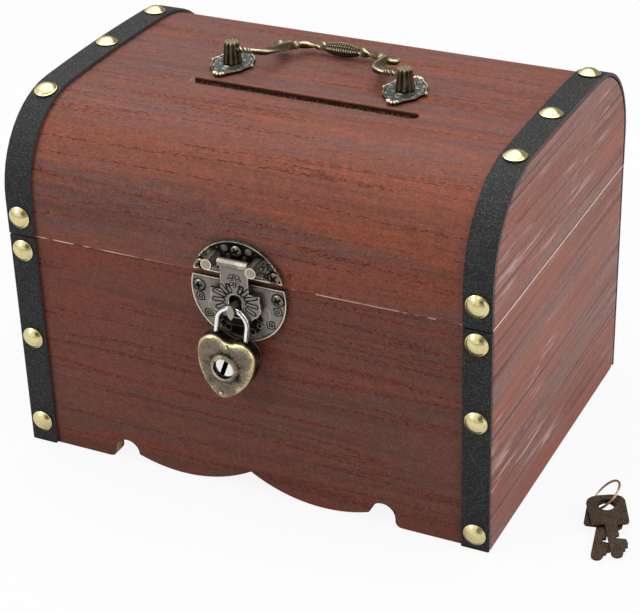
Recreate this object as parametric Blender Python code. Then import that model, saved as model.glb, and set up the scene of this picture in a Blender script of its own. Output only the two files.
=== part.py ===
"""Treasure chest money box: a small wooden chest with a coin slot in its lid, strapped ends,
a bail handle, a round hasp and a heart padlock with its two keys.

Metres, +Z up. The origin is the centre of the bottom board's underside, the front faces -Y.
"""
import math

import bmesh
import bpy
from mathutils import Matrix, Vector

for old in list(bpy.data.objects):
    bpy.data.objects.remove(old, do_unlink=True)

# Driving sizes of the chest
CHEST_WIDTH = 0.180
CHEST_DEPTH = 0.130
SEAM_HEIGHT = 0.0853  # ground to the joint between case and lid
PANEL = 0.006  # front, back and lid shell
END_PANEL = 0.008
BOARD = 0.004
BOARD_RISE = 0.0092  # ground to the underside of the bottom board
LID_WALL_HEIGHT = 0.0138  # upright part of the lid above the seam
SHOULDER_RADIUS = 0.0316
CROWN_RISE = 0.0007
CLEARANCE = 0.0003  # left between pieces that touch
SEAM_GAP = 0.0005
EDGE_ROUND = 0.0005
OVERRUN = 0.002  # how far a cutter runs past what it cuts

# Scalloped bottom edge of the front and back
NOTCH_PLACE_SHARE = 0.559  # of half the width, from the middle
LOBE_PLACE_SHARE = 0.3056
NOTCH_RADIUS = 0.0049
CUSP_HEIGHT = 0.008
LOBE_CLEAR = 0.0003
FOOT_ROUND = 0.0024
END_CORNER_ROUND = 0.0035

# Coin slot
SLOT_LENGTH = 0.0868
SLOT_WIDTH = 0.0045
SLOT_SHIFT = 0.0167  # towards the front from the middle of the lid
SLOT_OFFSET = 0.0009  # towards the right

# Straps and their tacks
STRAP_WIDTH = 0.0101
STRAP = 0.0011
TACK_HEAD = 0.0080
TACK_DOME = 0.0021
TACK_NAIL = 0.0011
TACK_NAIL_LENGTH = 0.0062
# Shares of the way over the lid from its front edge, and of the seam's height from the ground
LID_TACK_SHARES = {"left": (0.0364, 0.2804, 0.4937, 0.6747, 0.9636),
                   "right": (0.0445, 0.3184, 0.4912, 0.6897, 0.9555)}
CASE_TACK_SHARES = {"left": (0.107, 0.5195, 0.934), "right": (0.0773, 0.5964, 0.941)}

# Rear butt hinges
HINGE_PLACE_SHARE = 0.5  # of half the width, from the middle
HINGE_WIDTH = 0.020
HINGE_LEAF_HEIGHT = 0.012
HINGE_LEAF = 0.0007
KNUCKLE = 0.0034
HINGE_PIN = 0.0013

# Round hasp on the front
PLATE = 0.0012
UPPER_PLATE_RADIUS = 0.0172
UPPER_PLATE_DROP = 0.0027  # its centre below the seam
UPPER_PLATE_EDGE = 0.0018  # its straight edge above the seam
LOWER_PLATE_RADIUS = 0.0177
LOWER_PLATE_DROP = 0.005
LOWER_PLATE_EDGE = 0.0004  # its straight edge below the seam
POST_SPREAD = 0.0164
POST_ROOT = 0.0048
POST_TIP = 0.0040
POST_LENGTH = 0.0064
BARREL_HEIGHT = 0.0076  # hinge line of the flap above the seam
BARREL_OUT = 0.0042  # and out from the wood
BARREL = 0.0032
BARREL_LENGTH = 0.0110
FLAP_PIN = 0.0013
FLAP = 0.0012
FLAP_BACK = 0.0008  # middle of the flap behind its hinge line
FLAP_NECK = 0.0104
FLAP_SPAN = 0.0192  # across the wings
FLAP_LENGTH = 0.0232
FLAP_HOLE = 0.0047
FLAP_HOLE_TOP = 0.0116
FLAP_HOLE_BOTTOM = 0.0201
# Half outline of the flap, as shares of half its span and of its length, down from the neck
FLAP_WING_SHARES = ((0.97, 0.455), (0.94, 0.55), (1.0, 0.70), (0.865, 0.79), (0.67, 0.845),
                    (0.48, 0.957), (0.23, 1.0))
STAPLE_WIDTH = 0.0027
STAPLE_HEIGHT = 0.0058
STAPLE_DROP = 0.0088  # its middle below the seam
STAPLE_WALL = 0.0009  # beyond the eye
SCREW_HEAD = 0.0038
SCREW_DOME = 0.0009
SCREW_SHANK = 0.0018
SCREW_LENGTH = 0.0055
SCREW_CROSS = 0.0022
SCREW_CROSS_WIDTH = 0.0006
UPPER_SCREW_SPREAD = 0.0272
UPPER_SCREW_HEIGHT = 0.0038
TOP_SCREW_HEIGHT = 0.0112
LOWER_SCREW_SPREAD = 0.0294
LOWER_SCREW_DROP = 0.0043

# Heart padlock, hanging from the staple
PADLOCK_TILT_DEG = 8.5
SHACKLE_WIRE = 0.0019
SHACKLE_SPREAD = 0.0112
SHACKLE_ABOVE = 0.0110  # wire's middle to the top of the lobes
LONG_LEG_IN = 0.0090
SHORT_LEG_IN = 0.0040
EYE_PLAY = 0.0006
HEART_THICKNESS = 0.0066
HEART_ROUND = 0.0012
LOBE_RADIUS = 0.0059
LOBE_SPREAD = 0.0100
FLANK_RADIUS = 0.0195
TIP_RADIUS = 0.0045
HEART_REACH = 0.0131  # centre of the lobes to the centre of the tip
HEART_DIP = 0.0013
UNLOCK_TRAVEL = 0.0045
BOSS_ROOT = 0.0108
BOSS_TOP = 0.0095
BOSS_RISE = 0.0007
PLUG = 0.0070
PLUG_DROP = 0.0111  # below the top of the lobes
PLUG_DEPTH = 0.0055
PLUG_SINK = 0.0005  # its face behind the face of the body
KEYWAY_WIDTH = 0.0017
KEYWAY_HEIGHT = 0.0060
KEYWAY_DEPTH = 0.0040
KEYWAY_TILT_DEG = 12.0

# Bail handle on the lid
HANDLE_SPREAD = 0.0661
HANDLE_SHIFT = 0.0004  # towards the front from the middle of the lid
HANDLE_OFFSET = 0.0010  # towards the left
HANDLE_PLATE = 0.0008
HANDLE_PLATE_WIDTH = 0.0152
HANDLE_PLATE_LENGTH = 0.0236
# Quarter outline of a base plate, as shares of half its width and half its length
HANDLE_PLATE_SHARES = ((1.0, 0.07), (0.90, 0.20), (0.80, 0.48), (0.55, 0.66), (0.36, 0.80),
                       (0.26, 0.93), (0.10, 1.0))
STANDARD_ROOT = 0.0066
STANDARD_TOP = 0.0048
STANDARD_HEIGHT = 0.0078  # above its base plate
STANDARD_FLUTES = 10
FLUTE_DEPTH_SHARE = 0.07
PIVOT_HEIGHT = 0.0065  # hinge line of the bail above the lid
BAIL_LENGTH = 0.0213  # hinge line to the middle of the grip
BAIL_END = 0.0020
BAIL_ARM = 0.0030
GRIP = 0.0043
GRIP_LENGTH = 0.0136
GRIP_CLEAR = 0.0006
GRIP_TAPER_SHARE = 0.5
# Half of the bail's line: share of half the spread, share of its length, share of the arm's thickness
BAIL_LINE_SHARES = ((0.80, 0.0, 0.85), (0.735, 0.03, 0.95), (0.675, 0.10, 1.05), (0.632, 0.24, 1.15),
                    (0.61, 0.44, 1.2), (0.585, 0.64, 1.15), (0.525, 0.82, 1.0), (0.43, 0.95, 0.85),
                    (0.33, 1.01, 0.8))

# Keys on their ring, lying beside the chest
KEY_LENGTH = 0.0310
KEY_HEAD_WIDTH = 0.0134
KEY_HEAD_LENGTH = 0.0150
KEY_PLATE = 0.0010
KEY_BLADE = 0.0040
KEY_HOLE = 0.0058
KEY_HOLE_INSET = 0.0050
# Right side of a key from the head down: share of half the head's width, share of the length
KEY_HEAD_SHARES = ((0.30, 0.0), (0.62, 0.012), (0.88, 0.045), (1.0, 0.10), (0.97, 0.445), (0.86, 0.475))
KEY_BIT_SHARES = ((0.30, 0.484), (0.30, 0.66), (0.12, 0.672), (0.12, 0.71), (0.60, 0.735), (0.64, 0.80),
                  (0.60, 0.85), (0.46, 0.86), (0.44, 0.90), (0.32, 0.91), (0.30, 0.95))
RING_RADIUS = 0.0062
RING_WIRE = 0.0008
RING_TILT_DEG = 45.0  # against the keys
KEY_TURNS_DEG = (11.0, 27.0)  # lower key, upper key
KEYS_OUT = 0.0292  # their holes beyond the right end
KEYS_FORWARD_SHARE = 0.478  # of half the depth, from the middle

HALF_WIDTH = CHEST_WIDTH / 2
HALF_DEPTH = CHEST_DEPTH / 2
GROUND = -BOARD_RISE
SEAM = GROUND + SEAM_HEIGHT
CASE_TOP = SEAM - SEAM_GAP / 2
LID_BOTTOM = SEAM + SEAM_GAP / 2
SHOULDER_Z = SEAM + LID_WALL_HEIGHT
LID_TOP = SHOULDER_Z + SHOULDER_RADIUS + CROWN_RISE
FRONT = -HALF_DEPTH
HINGE_Y = HALF_DEPTH + CLEARANCE + KNUCKLE / 2
SIDES = {"left": -1, "right": 1}
FACES = {"front": -1, "back": 1}
ON_MIDDLE = 1e-7  # points nearer than this to the middle line aren't mirrored


def finish(name, colour, roughness, metallic=0.0):
    """A Principled material in one colour."""
    mat = bpy.data.materials.new(name)
    mat.use_nodes = True
    shader = mat.node_tree.nodes["Principled BSDF"]
    shader.inputs["Base Color"].default_value = (*colour, 1.0)
    shader.inputs["Roughness"].default_value = roughness
    shader.inputs["Metallic"].default_value = metallic
    mat.diffuse_color = (*colour, 1.0)
    return mat


WOOD_FRONT = finish("stained_wood_front", (0.20, 0.07, 0.05), 0.55)
WOOD_END = finish("stained_wood_end", (0.27, 0.13, 0.10), 0.6)
WOOD_LID = finish("stained_wood_lid", (0.28, 0.11, 0.08), 0.55)
WOOD_RAW = finish("raw_wood", (0.55, 0.38, 0.24), 0.8)
LEATHERETTE = finish("black_leatherette", (0.03, 0.03, 0.032), 0.55)
BRASS = finish("bright_brass", (0.72, 0.56, 0.22), 0.25, 1.0)
PEWTER = finish("antique_pewter", (0.20, 0.18, 0.16), 0.45, 0.9)
BRONZE = finish("antique_bronze", (0.22, 0.18, 0.12), 0.42, 0.9)
OLD_BRASS = finish("antique_brass", (0.30, 0.23, 0.12), 0.42, 0.9)
STEEL = finish("bright_steel", (0.62, 0.62, 0.63), 0.3, 1.0)
CHROME = finish("chrome", (0.8, 0.8, 0.8), 0.12, 1.0)
KEY_METAL = finish("speckled_bronze", (0.09, 0.065, 0.045), 0.5, 0.8)
RING_METAL = finish("pale_brass", (0.55, 0.45, 0.30), 0.3, 1.0)


def piece(name, shape, mat, parent=None, smooth_deg=None, local=False):
    """An object from (vertices, faces), turned outward. Its mesh is in world or parent coordinates."""
    mesh = bpy.data.meshes.new(name)
    mesh.from_pydata([tuple(v) for v in shape[0]], [], shape[1])
    bm = bmesh.new()
    bm.from_mesh(mesh)
    bmesh.ops.recalc_face_normals(bm, faces=bm.faces)
    bm.to_mesh(mesh)
    bm.free()
    if smooth_deg:
        mesh.shade_smooth()
        mesh.set_sharp_from_angle(angle=math.radians(smooth_deg))
    obj = bpy.data.objects.new(name, mesh)
    bpy.context.collection.objects.link(obj)
    if mat:
        mesh.materials.append(mat)
    if parent:
        obj.parent = parent
        if not local:
            obj.matrix_parent_inverse = parent.matrix_world.inverted()
    return obj


def pivot(name, place, parent=None, turn=None):
    """An empty on a joint's axis, which carries the pieces that move with it."""
    empty = bpy.data.objects.new(name, None)
    bpy.context.collection.objects.link(empty)
    world = Matrix.Translation(place)
    if turn:
        world = world @ turn
    empty.parent = parent
    empty.matrix_world = world
    bpy.context.view_layer.update()
    return empty


def joined(shapes):
    """Several closed shapes as one list of vertices and faces."""
    verts, faces = [], []
    for shape_verts, shape_faces in shapes:
        start = len(verts)
        verts += shape_verts
        faces += [tuple(i + start for i in face) for face in shape_faces]
    return verts, faces


def boolean(obj, shape, operation="DIFFERENCE", local=False):
    """Cuts or adds a hidden shape with an exact Boolean that stays live."""
    tool = piece(f"{obj.name}_{operation.lower()}", shape, None, obj.parent, local=local)
    tool.hide_render = True
    tool.display_type = "WIRE"
    tool.hide_set(True)
    mod = obj.modifiers.new(operation.title(), "BOOLEAN")
    mod.operation = operation
    mod.solver = "EXACT"
    mod.object = tool


def round_edges(obj, width, segments=2, angle_deg=40.0):
    mod = obj.modifiers.new("Bevel", "BEVEL")
    mod.width = width
    mod.segments = segments
    mod.limit_method = "ANGLE"
    mod.angle_limit = math.radians(angle_deg)


def arc(centre, radius, start_deg, end_deg, steps):
    """Points on an arc in a plane, both ends included."""
    angles = [math.radians(start_deg + (end_deg - start_deg) * i / steps) for i in range(steps + 1)]
    return [(centre[0] + radius * math.cos(a), centre[1] + radius * math.sin(a)) for a in angles]


def prism(outline, axis, low, high):
    """A flat outline drawn out along X, Y or Z."""
    def at(point, along):
        a, b = point
        return {"X": (along, a, b), "Y": (a, along, b), "Z": (a, b, along)}[axis]

    count = len(outline)
    verts = [at(p, low) for p in outline] + [at(p, high) for p in outline]
    faces = [(i, (i + 1) % count, count + (i + 1) % count, count + i) for i in range(count)]
    faces += [tuple(reversed(range(count))), tuple(range(count, 2 * count))]
    return verts, faces


def box(x0, x1, y0, y1, z0, z1):
    return prism([(x0, y0), (x1, y0), (x1, y1), (x0, y1)], "Z", z0, z1)


def turned(profile, sides, place=(0, 0, 0), axis="Z", wave=None):
    """A profile of (radius, height) turned round an axis. A radius of zero closes an end."""
    rings, verts, faces = [], [], []
    for radius, height in profile:
        ring = []
        for i in range(1 if radius == 0 else sides):
            angle = 2 * math.pi * i / sides
            r = radius * (wave(angle) if wave else 1.0)
            a, b = r * math.cos(angle), r * math.sin(angle)
            spot = {"X": (height, a, b), "Y": (b, height, a), "Z": (a, b, height)}[axis]
            ring.append(len(verts))
            verts.append(tuple(Vector(place) + Vector(spot)))
        rings.append(ring)
    for low, high in zip(rings, rings[1:]):
        for i in range(sides):
            j = (i + 1) % sides
            if len(low) == 1:
                faces.append((low[0], high[i], high[j]))
            elif len(high) == 1:
                faces.append((low[i], low[j], high[0]))
            else:
                faces.append((low[i], low[j], high[j], high[i]))
    return verts, faces


def rod(radius, start, end, sides, axis="Z", place=(0, 0, 0)):
    return turned([(0, start), (radius, start), (radius, end), (0, end)], sides, place, axis)


def tube(line, radii, sides, closed=False):
    """A round section carried along a line of points, with flat ends or as a closed loop."""
    line = [Vector(p) for p in line]
    count = len(line)
    verts, faces = [], []
    side = None
    for i, point in enumerate(line):
        ahead = line[(i + 1) % count] if closed or i < count - 1 else point
        behind = line[i - 1] if closed or i else point
        along = (ahead - behind).normalized()
        side = side or along.orthogonal()
        side = (side - along * side.dot(along)).normalized()
        other = along.cross(side)
        for k in range(sides):
            angle = 2 * math.pi * k / sides
            verts.append(tuple(point + radii[i] * (math.cos(angle) * side + math.sin(angle) * other)))
    for i in range(count if closed else count - 1):
        low, high = i * sides, (i + 1) % count * sides
        faces += [(low + k, low + (k + 1) % sides, high + (k + 1) % sides, high + k) for k in range(sides)]
    if not closed:
        faces += [tuple(reversed(range(sides))), tuple(range((count - 1) * sides, count * sides))]
    return verts, faces


def moved(shape, matrix):
    return [tuple(matrix @ Vector(v)) for v in shape[0]], shape[1]


def mirrored(points):
    """A half outline from the middle line outward, closed with its mirror image."""
    return points + [(-a, b) for a, b in reversed(points) if a > ON_MIDDLE]


# Lid profile
CROWN_HALF = HALF_DEPTH - SHOULDER_RADIUS
CROWN_RADIUS = SHOULDER_RADIUS + (CROWN_HALF ** 2 + CROWN_RISE ** 2) / (2 * CROWN_RISE)
CROWN_DEG = math.degrees(math.asin(CROWN_HALF / (CROWN_RADIUS - SHOULDER_RADIUS)))
SHOULDER_DEG = 90.0 - CROWN_DEG
SHOULDER_STEPS, CROWN_STEPS = 12, 6


def lid_profile(offset, foot):
    """Section of the lid, offset outward: up the front, over the crown and down the back to foot."""
    shoulder = SHOULDER_RADIUS + offset
    front = arc((-CROWN_HALF, SHOULDER_Z), shoulder, 180.0, 180.0 - SHOULDER_DEG, SHOULDER_STEPS)
    crown = arc((0, LID_TOP - CROWN_RADIUS), CROWN_RADIUS + offset, 90.0 + CROWN_DEG, 90.0 - CROWN_DEG,
                2 * CROWN_STEPS)
    back = [(-y, z) for y, z in reversed(front)]
    return [(FRONT - offset, foot)] + front + crown[1:-1] + back + [(HALF_DEPTH + offset, foot)]


def lid_place(share, offset):
    """A point on the lid's section and its outward direction, at a share of the way over from the front."""
    wall = SHOULDER_Z - LID_BOTTOM
    shoulder = SHOULDER_RADIUS * math.radians(SHOULDER_DEG)
    crown = CROWN_RADIUS * math.radians(CROWN_DEG)
    half = wall + shoulder + crown
    way = 2 * half * min(share, 1.0 - share)
    if way < wall:
        y, z, angle = FRONT, LID_BOTTOM + way, math.pi
    elif way < wall + shoulder:
        angle = math.pi - (way - wall) / SHOULDER_RADIUS
        y = -CROWN_HALF + SHOULDER_RADIUS * math.cos(angle)
        z = SHOULDER_Z + SHOULDER_RADIUS * math.sin(angle)
    else:
        angle = math.pi / 2 + (half - way) / CROWN_RADIUS
        y = CROWN_RADIUS * math.cos(angle)
        z = LID_TOP - CROWN_RADIUS + CROWN_RADIUS * math.sin(angle)
    out_y, out_z = math.cos(angle), math.sin(angle)
    if share > 1.0 - share:
        y, out_y = -y, -out_y
    return (y + offset * out_y, z + offset * out_z), (out_y, out_z)


def scallop():
    """Half of the front's lower edge, from the cusp in the middle to the foot, as (x, height)."""
    lobe_x = LOBE_PLACE_SHARE * HALF_WIDTH
    notch_x = NOTCH_PLACE_SHARE * HALF_WIDTH
    rise = CUSP_HEIGHT - LOBE_CLEAR
    radius = (lobe_x ** 2 + rise ** 2) / (2 * rise)

    def lobe(x):
        return LOBE_CLEAR + radius - math.sqrt(radius ** 2 - (x - lobe_x) ** 2)

    lobe_end = notch_x - NOTCH_RADIUS
    steps = 16
    edge = [(lobe_end * i / steps, lobe(lobe_end * i / steps)) for i in range(steps)]
    spring = lobe(lobe_end)
    edge += arc((notch_x, spring), NOTCH_RADIUS, 180.0, 0.0, 10)
    edge += arc((notch_x + NOTCH_RADIUS + FOOT_ROUND, FOOT_ROUND), FOOT_ROUND, 180.0, 270.0, 4)
    return edge


def tack_shape():
    """A domed head on a nail, standing on its strap at height zero."""
    radius, dome = TACK_HEAD / 2, TACK_DOME
    ball = (radius ** 2 + dome ** 2) / (2 * dome)
    spread = math.asin(radius / ball)
    profile = [(0, -TACK_NAIL_LENGTH), (TACK_NAIL / 2, -TACK_NAIL_LENGTH), (TACK_NAIL / 2, 0)]
    steps = 5
    for i in range(steps):
        angle = spread * (1 - i / steps)
        profile.append((ball * math.sin(angle), dome - ball + ball * math.cos(angle)))
    return turned(profile + [(0, dome)], 16)


def tack_matrix(side, place, out):
    """Stands a tack at (y, z) on a strap, its head looking along out."""
    x = SIDES[side] * (HALF_WIDTH - STRAP_WIDTH / 2)
    turn = Vector((0, 0, 1)).rotation_difference(Vector((0, *out))).to_matrix().to_4x4()
    return Matrix.Translation((x, *place)) @ turn


def nail_hole(matrix):
    radius = TACK_NAIL / 2 + CLEARANCE
    return moved(rod(radius, -TACK_NAIL_LENGTH - CLEARANCE, OVERRUN, 8), matrix)


# Tack places on the lid and on the case, as matrices
TACK_SEAT = CLEARANCE + STRAP + CLEARANCE
LID_TACKS = {
    side: [tack_matrix(side, *lid_place(share, TACK_SEAT)) for share in LID_TACK_SHARES[side]]
    for side in SIDES
}
CASE_TACKS = {
    (side, face): [tack_matrix(side, (way * (HALF_DEPTH + TACK_SEAT), GROUND + share * SEAM_HEIGHT),
                               (way, 0))
                   for share in CASE_TACK_SHARES[side]]
    for side in SIDES for face, way in FACES.items()
}


def make_case():
    reach = HALF_WIDTH - END_PANEL - CLEARANCE
    edge = [(x, GROUND + z) for x, z in scallop()]
    panel = mirrored(edge + [(reach, GROUND), (reach, CASE_TOP)])
    for face, way in FACES.items():
        low, high = sorted((way * HALF_DEPTH, way * (HALF_DEPTH - PANEL)))
        obj = piece(f"case_{face}", prism(panel, "Y", low, high), WOOD_FRONT)
        round_edges(obj, EDGE_ROUND / 2, 1, 60.0)
    corner = END_CORNER_ROUND
    outline = [(FRONT, GROUND), (FRONT, CASE_TOP), (HALF_DEPTH, CASE_TOP)]
    outline += arc((HALF_DEPTH - corner, GROUND + corner), corner, 0.0, -90.0, 6)
    for side, way in SIDES.items():
        low, high = sorted((way * HALF_WIDTH, way * (HALF_WIDTH - END_PANEL)))
        obj = piece(f"case_{side}", prism(outline, "X", low, high), WOOD_END)
        round_edges(obj, EDGE_ROUND, 1, 60.0)
        boolean(obj, joined([nail_hole(m) for face in FACES for m in CASE_TACKS[side, face]]))
    deep = HALF_DEPTH - PANEL - CLEARANCE
    piece("case_bottom", box(-reach, reach, -deep, deep, 0, BOARD), WOOD_RAW)


def make_lid(lid):
    reach = HALF_WIDTH - END_PANEL - CLEARANCE
    section = lid_profile(0, LID_BOTTOM) + list(reversed(lid_profile(-PANEL, LID_BOTTOM)))
    shell = piece("lid_shell", prism(section, "X", -reach, reach), WOOD_LID, lid, 35.0)
    half, middle = SLOT_LENGTH / 2, -SLOT_SHIFT
    wide = SLOT_WIDTH / 2
    ends = [(x, middle + y) for x, y in arc((half - wide, 0), wide, -90.0, 90.0, 6)]
    ends += [(-x, y) for x, y in reversed(ends)]
    ends = [(SLOT_OFFSET + x, y) for x, y in ends]
    boolean(shell, prism(ends, "Z", LID_TOP - 2 * PANEL, LID_TOP + OVERRUN))
    for side, way in SIDES.items():
        low, high = sorted((way * HALF_WIDTH, way * (HALF_WIDTH - END_PANEL)))
        panel = prism(lid_profile(0, LID_BOTTOM), "X", low, high)
        obj = piece(f"lid_end_{side}", panel, WOOD_END, lid, 35.0)
        round_edges(obj, EDGE_ROUND, 1, 60.0)
        boolean(obj, joined([nail_hole(m) for m in LID_TACKS[side]]))


def make_straps(lid):
    """Straps over the ends of lid and case, held by tacks whose nails run into the end panels."""
    for side, way in SIDES.items():
        low, high = sorted((way * HALF_WIDTH, way * (HALF_WIDTH - STRAP_WIDTH)))
        inner = lid_profile(CLEARANCE, LID_BOTTOM)
        outer = lid_profile(CLEARANCE + STRAP, LID_BOTTOM)
        band = prism(outer + list(reversed(inner)), "X", low, high)
        strap = piece(f"lid_strap_{side}", band, LEATHERETTE, lid, 35.0)
        boolean(strap, joined([nail_hole(m) for m in LID_TACKS[side]]))
        for face, turn in FACES.items():
            near, far = sorted((turn * (HALF_DEPTH + CLEARANCE), turn * (HALF_DEPTH + CLEARANCE + STRAP)))
            band = box(low, high, near, far, GROUND + CLEARANCE, CASE_TOP)
            strap = piece(f"case_strap_{face}_{side}", band, LEATHERETTE)
            boolean(strap, joined([nail_hole(m) for m in CASE_TACKS[side, face]]))


def make_tacks(lid):
    shape = tack_shape()
    for side in SIDES:
        for number, matrix in enumerate(LID_TACKS[side], 1):
            obj = piece(f"lid_tack_{side}_{number}", shape, BRASS, lid, 50.0)
            obj.matrix_world = matrix
        for face in FACES:
            for number, matrix in enumerate(CASE_TACKS[side, face], 1):
                obj = piece(f"case_tack_{face}_{side}_{number}", shape, BRASS, None, 50.0)
                obj.matrix_world = matrix


def make_hinges(lid):
    """Two butt hinges on the back: two knuckles on the case's leaf, one on the lid's, and a pin."""
    back = HALF_DEPTH + CLEARANCE
    end = HINGE_WIDTH / 2
    past = end + OVERRUN
    inside = (HINGE_WIDTH / 3 - CLEARANCE) / 2
    outside = (HINGE_WIDTH / 3 + CLEARANCE) / 2
    # Leaf, way from the hinge line, its own knuckles, room for the other leaf's, parent
    leaves = (("case", -1, [(-end, -outside), (outside, end)], [(-outside, outside)], None),
              ("lid", 1, [(-inside, inside)], [(-past, -inside), (inside, past)], lid))
    for side, way in SIDES.items():
        middle = way * HINGE_PLACE_SHARE * HALF_WIDTH
        centre = (middle, HINGE_Y, SEAM)
        for name, turn, knuckles, rooms, parent in leaves:
            low, high = sorted((SEAM, SEAM + turn * HINGE_LEAF_HEIGHT))
            plate = box(middle - end, middle + end, back, back + HINGE_LEAF, low, high)
            leaf = piece(f"hinge_{side}_{name}_leaf", plate, STEEL, parent, 35.0)
            boolean(leaf, joined([rod(KNUCKLE / 2 + CLEARANCE, a, b, 16, "X", centre) for a, b in rooms]))
            for a, b in knuckles:
                boolean(leaf, rod(KNUCKLE / 2, a, b, 16, "X", centre), "UNION")
            boolean(leaf, rod(HINGE_PIN / 2 + CLEARANCE, -past, past, 12, "X", centre))
        pin = rod(HINGE_PIN / 2, -end, end, 12, "X", centre)
        piece(f"hinge_{side}_pin", pin, STEEL, None, 50.0)


def screw_shape():
    """A cross-head screw standing along -Y, its head's underside at zero."""
    head = SCREW_HEAD / 2
    ball = (head ** 2 + SCREW_DOME ** 2) / (2 * SCREW_DOME)
    spread = math.asin(head / ball)
    profile = [(0, SCREW_LENGTH), (SCREW_SHANK / 2, SCREW_LENGTH), (SCREW_SHANK / 2, 0)]
    steps = 3
    for i in range(steps):
        angle = spread * (1 - i / steps)
        profile.append((ball * math.sin(angle), ball - SCREW_DOME - ball * math.cos(angle)))
    return turned(profile + [(0, -SCREW_DOME)], 16, axis="Y")


def make_screw(name, x, z, parent):
    """A screw through a hasp plate into the wood."""
    seat = FRONT - CLEARANCE - PLATE - CLEARANCE
    place = Matrix.Translation((x, seat, z))
    screw = piece(name, moved(screw_shape(), place), STEEL, parent, 40.0)
    arm, wide = SCREW_CROSS / 2, SCREW_CROSS_WIDTH / 2
    quarter = [(arm, -wide), (arm, wide), (wide, wide)]
    cross = []
    for turn in range(4):
        c, s = round(math.cos(turn * math.pi / 2)), round(math.sin(turn * math.pi / 2))
        cross += [(c * a - s * b, s * a + c * b) for a, b in quarter]
    boolean(screw, moved(prism(cross, "Y", -2 * SCREW_DOME, -SCREW_DOME / 4), place))


def screw_hole(x, z):
    start = FRONT - CLEARANCE - PLATE - OVERRUN
    length = OVERRUN + PLATE + CLEARANCE + SCREW_LENGTH + CLEARANCE
    return rod(SCREW_SHANK / 2 + CLEARANCE, 0, length, 12, "Y", (x, start, z))


UPPER_SCREWS = [(-UPPER_SCREW_SPREAD / 2, SEAM + UPPER_SCREW_HEIGHT), (0, SEAM + TOP_SCREW_HEIGHT),
                (UPPER_SCREW_SPREAD / 2, SEAM + UPPER_SCREW_HEIGHT)]
LOWER_SCREWS = [(way * LOWER_SCREW_SPREAD / 2, SEAM - LOWER_SCREW_DROP) for way in (-1, 1)]
FLAP_AXIS = (0, FRONT - BARREL_OUT, SEAM + BARREL_HEIGHT)
FLAP_FRONT = FRONT - BARREL_OUT + FLAP_BACK - FLAP / 2
EYE_RADIUS = SHACKLE_WIRE / 2 + EYE_PLAY
EYE = (0, FLAP_FRONT - CLEARANCE - SHACKLE_WIRE / 2 - CLEARANCE, SEAM - STAPLE_DROP)


def plate_outline(radius, centre_z, edge_z, above):
    """A disc cut straight at edge_z, keeping what lies above or below."""
    dip = math.degrees(math.asin((edge_z - centre_z) / radius))
    if above:
        return arc((0, centre_z), radius, dip, 180.0 - dip, 28)
    return arc((0, centre_z), radius, 180.0 - dip, 360.0 + dip, 36)


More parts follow.
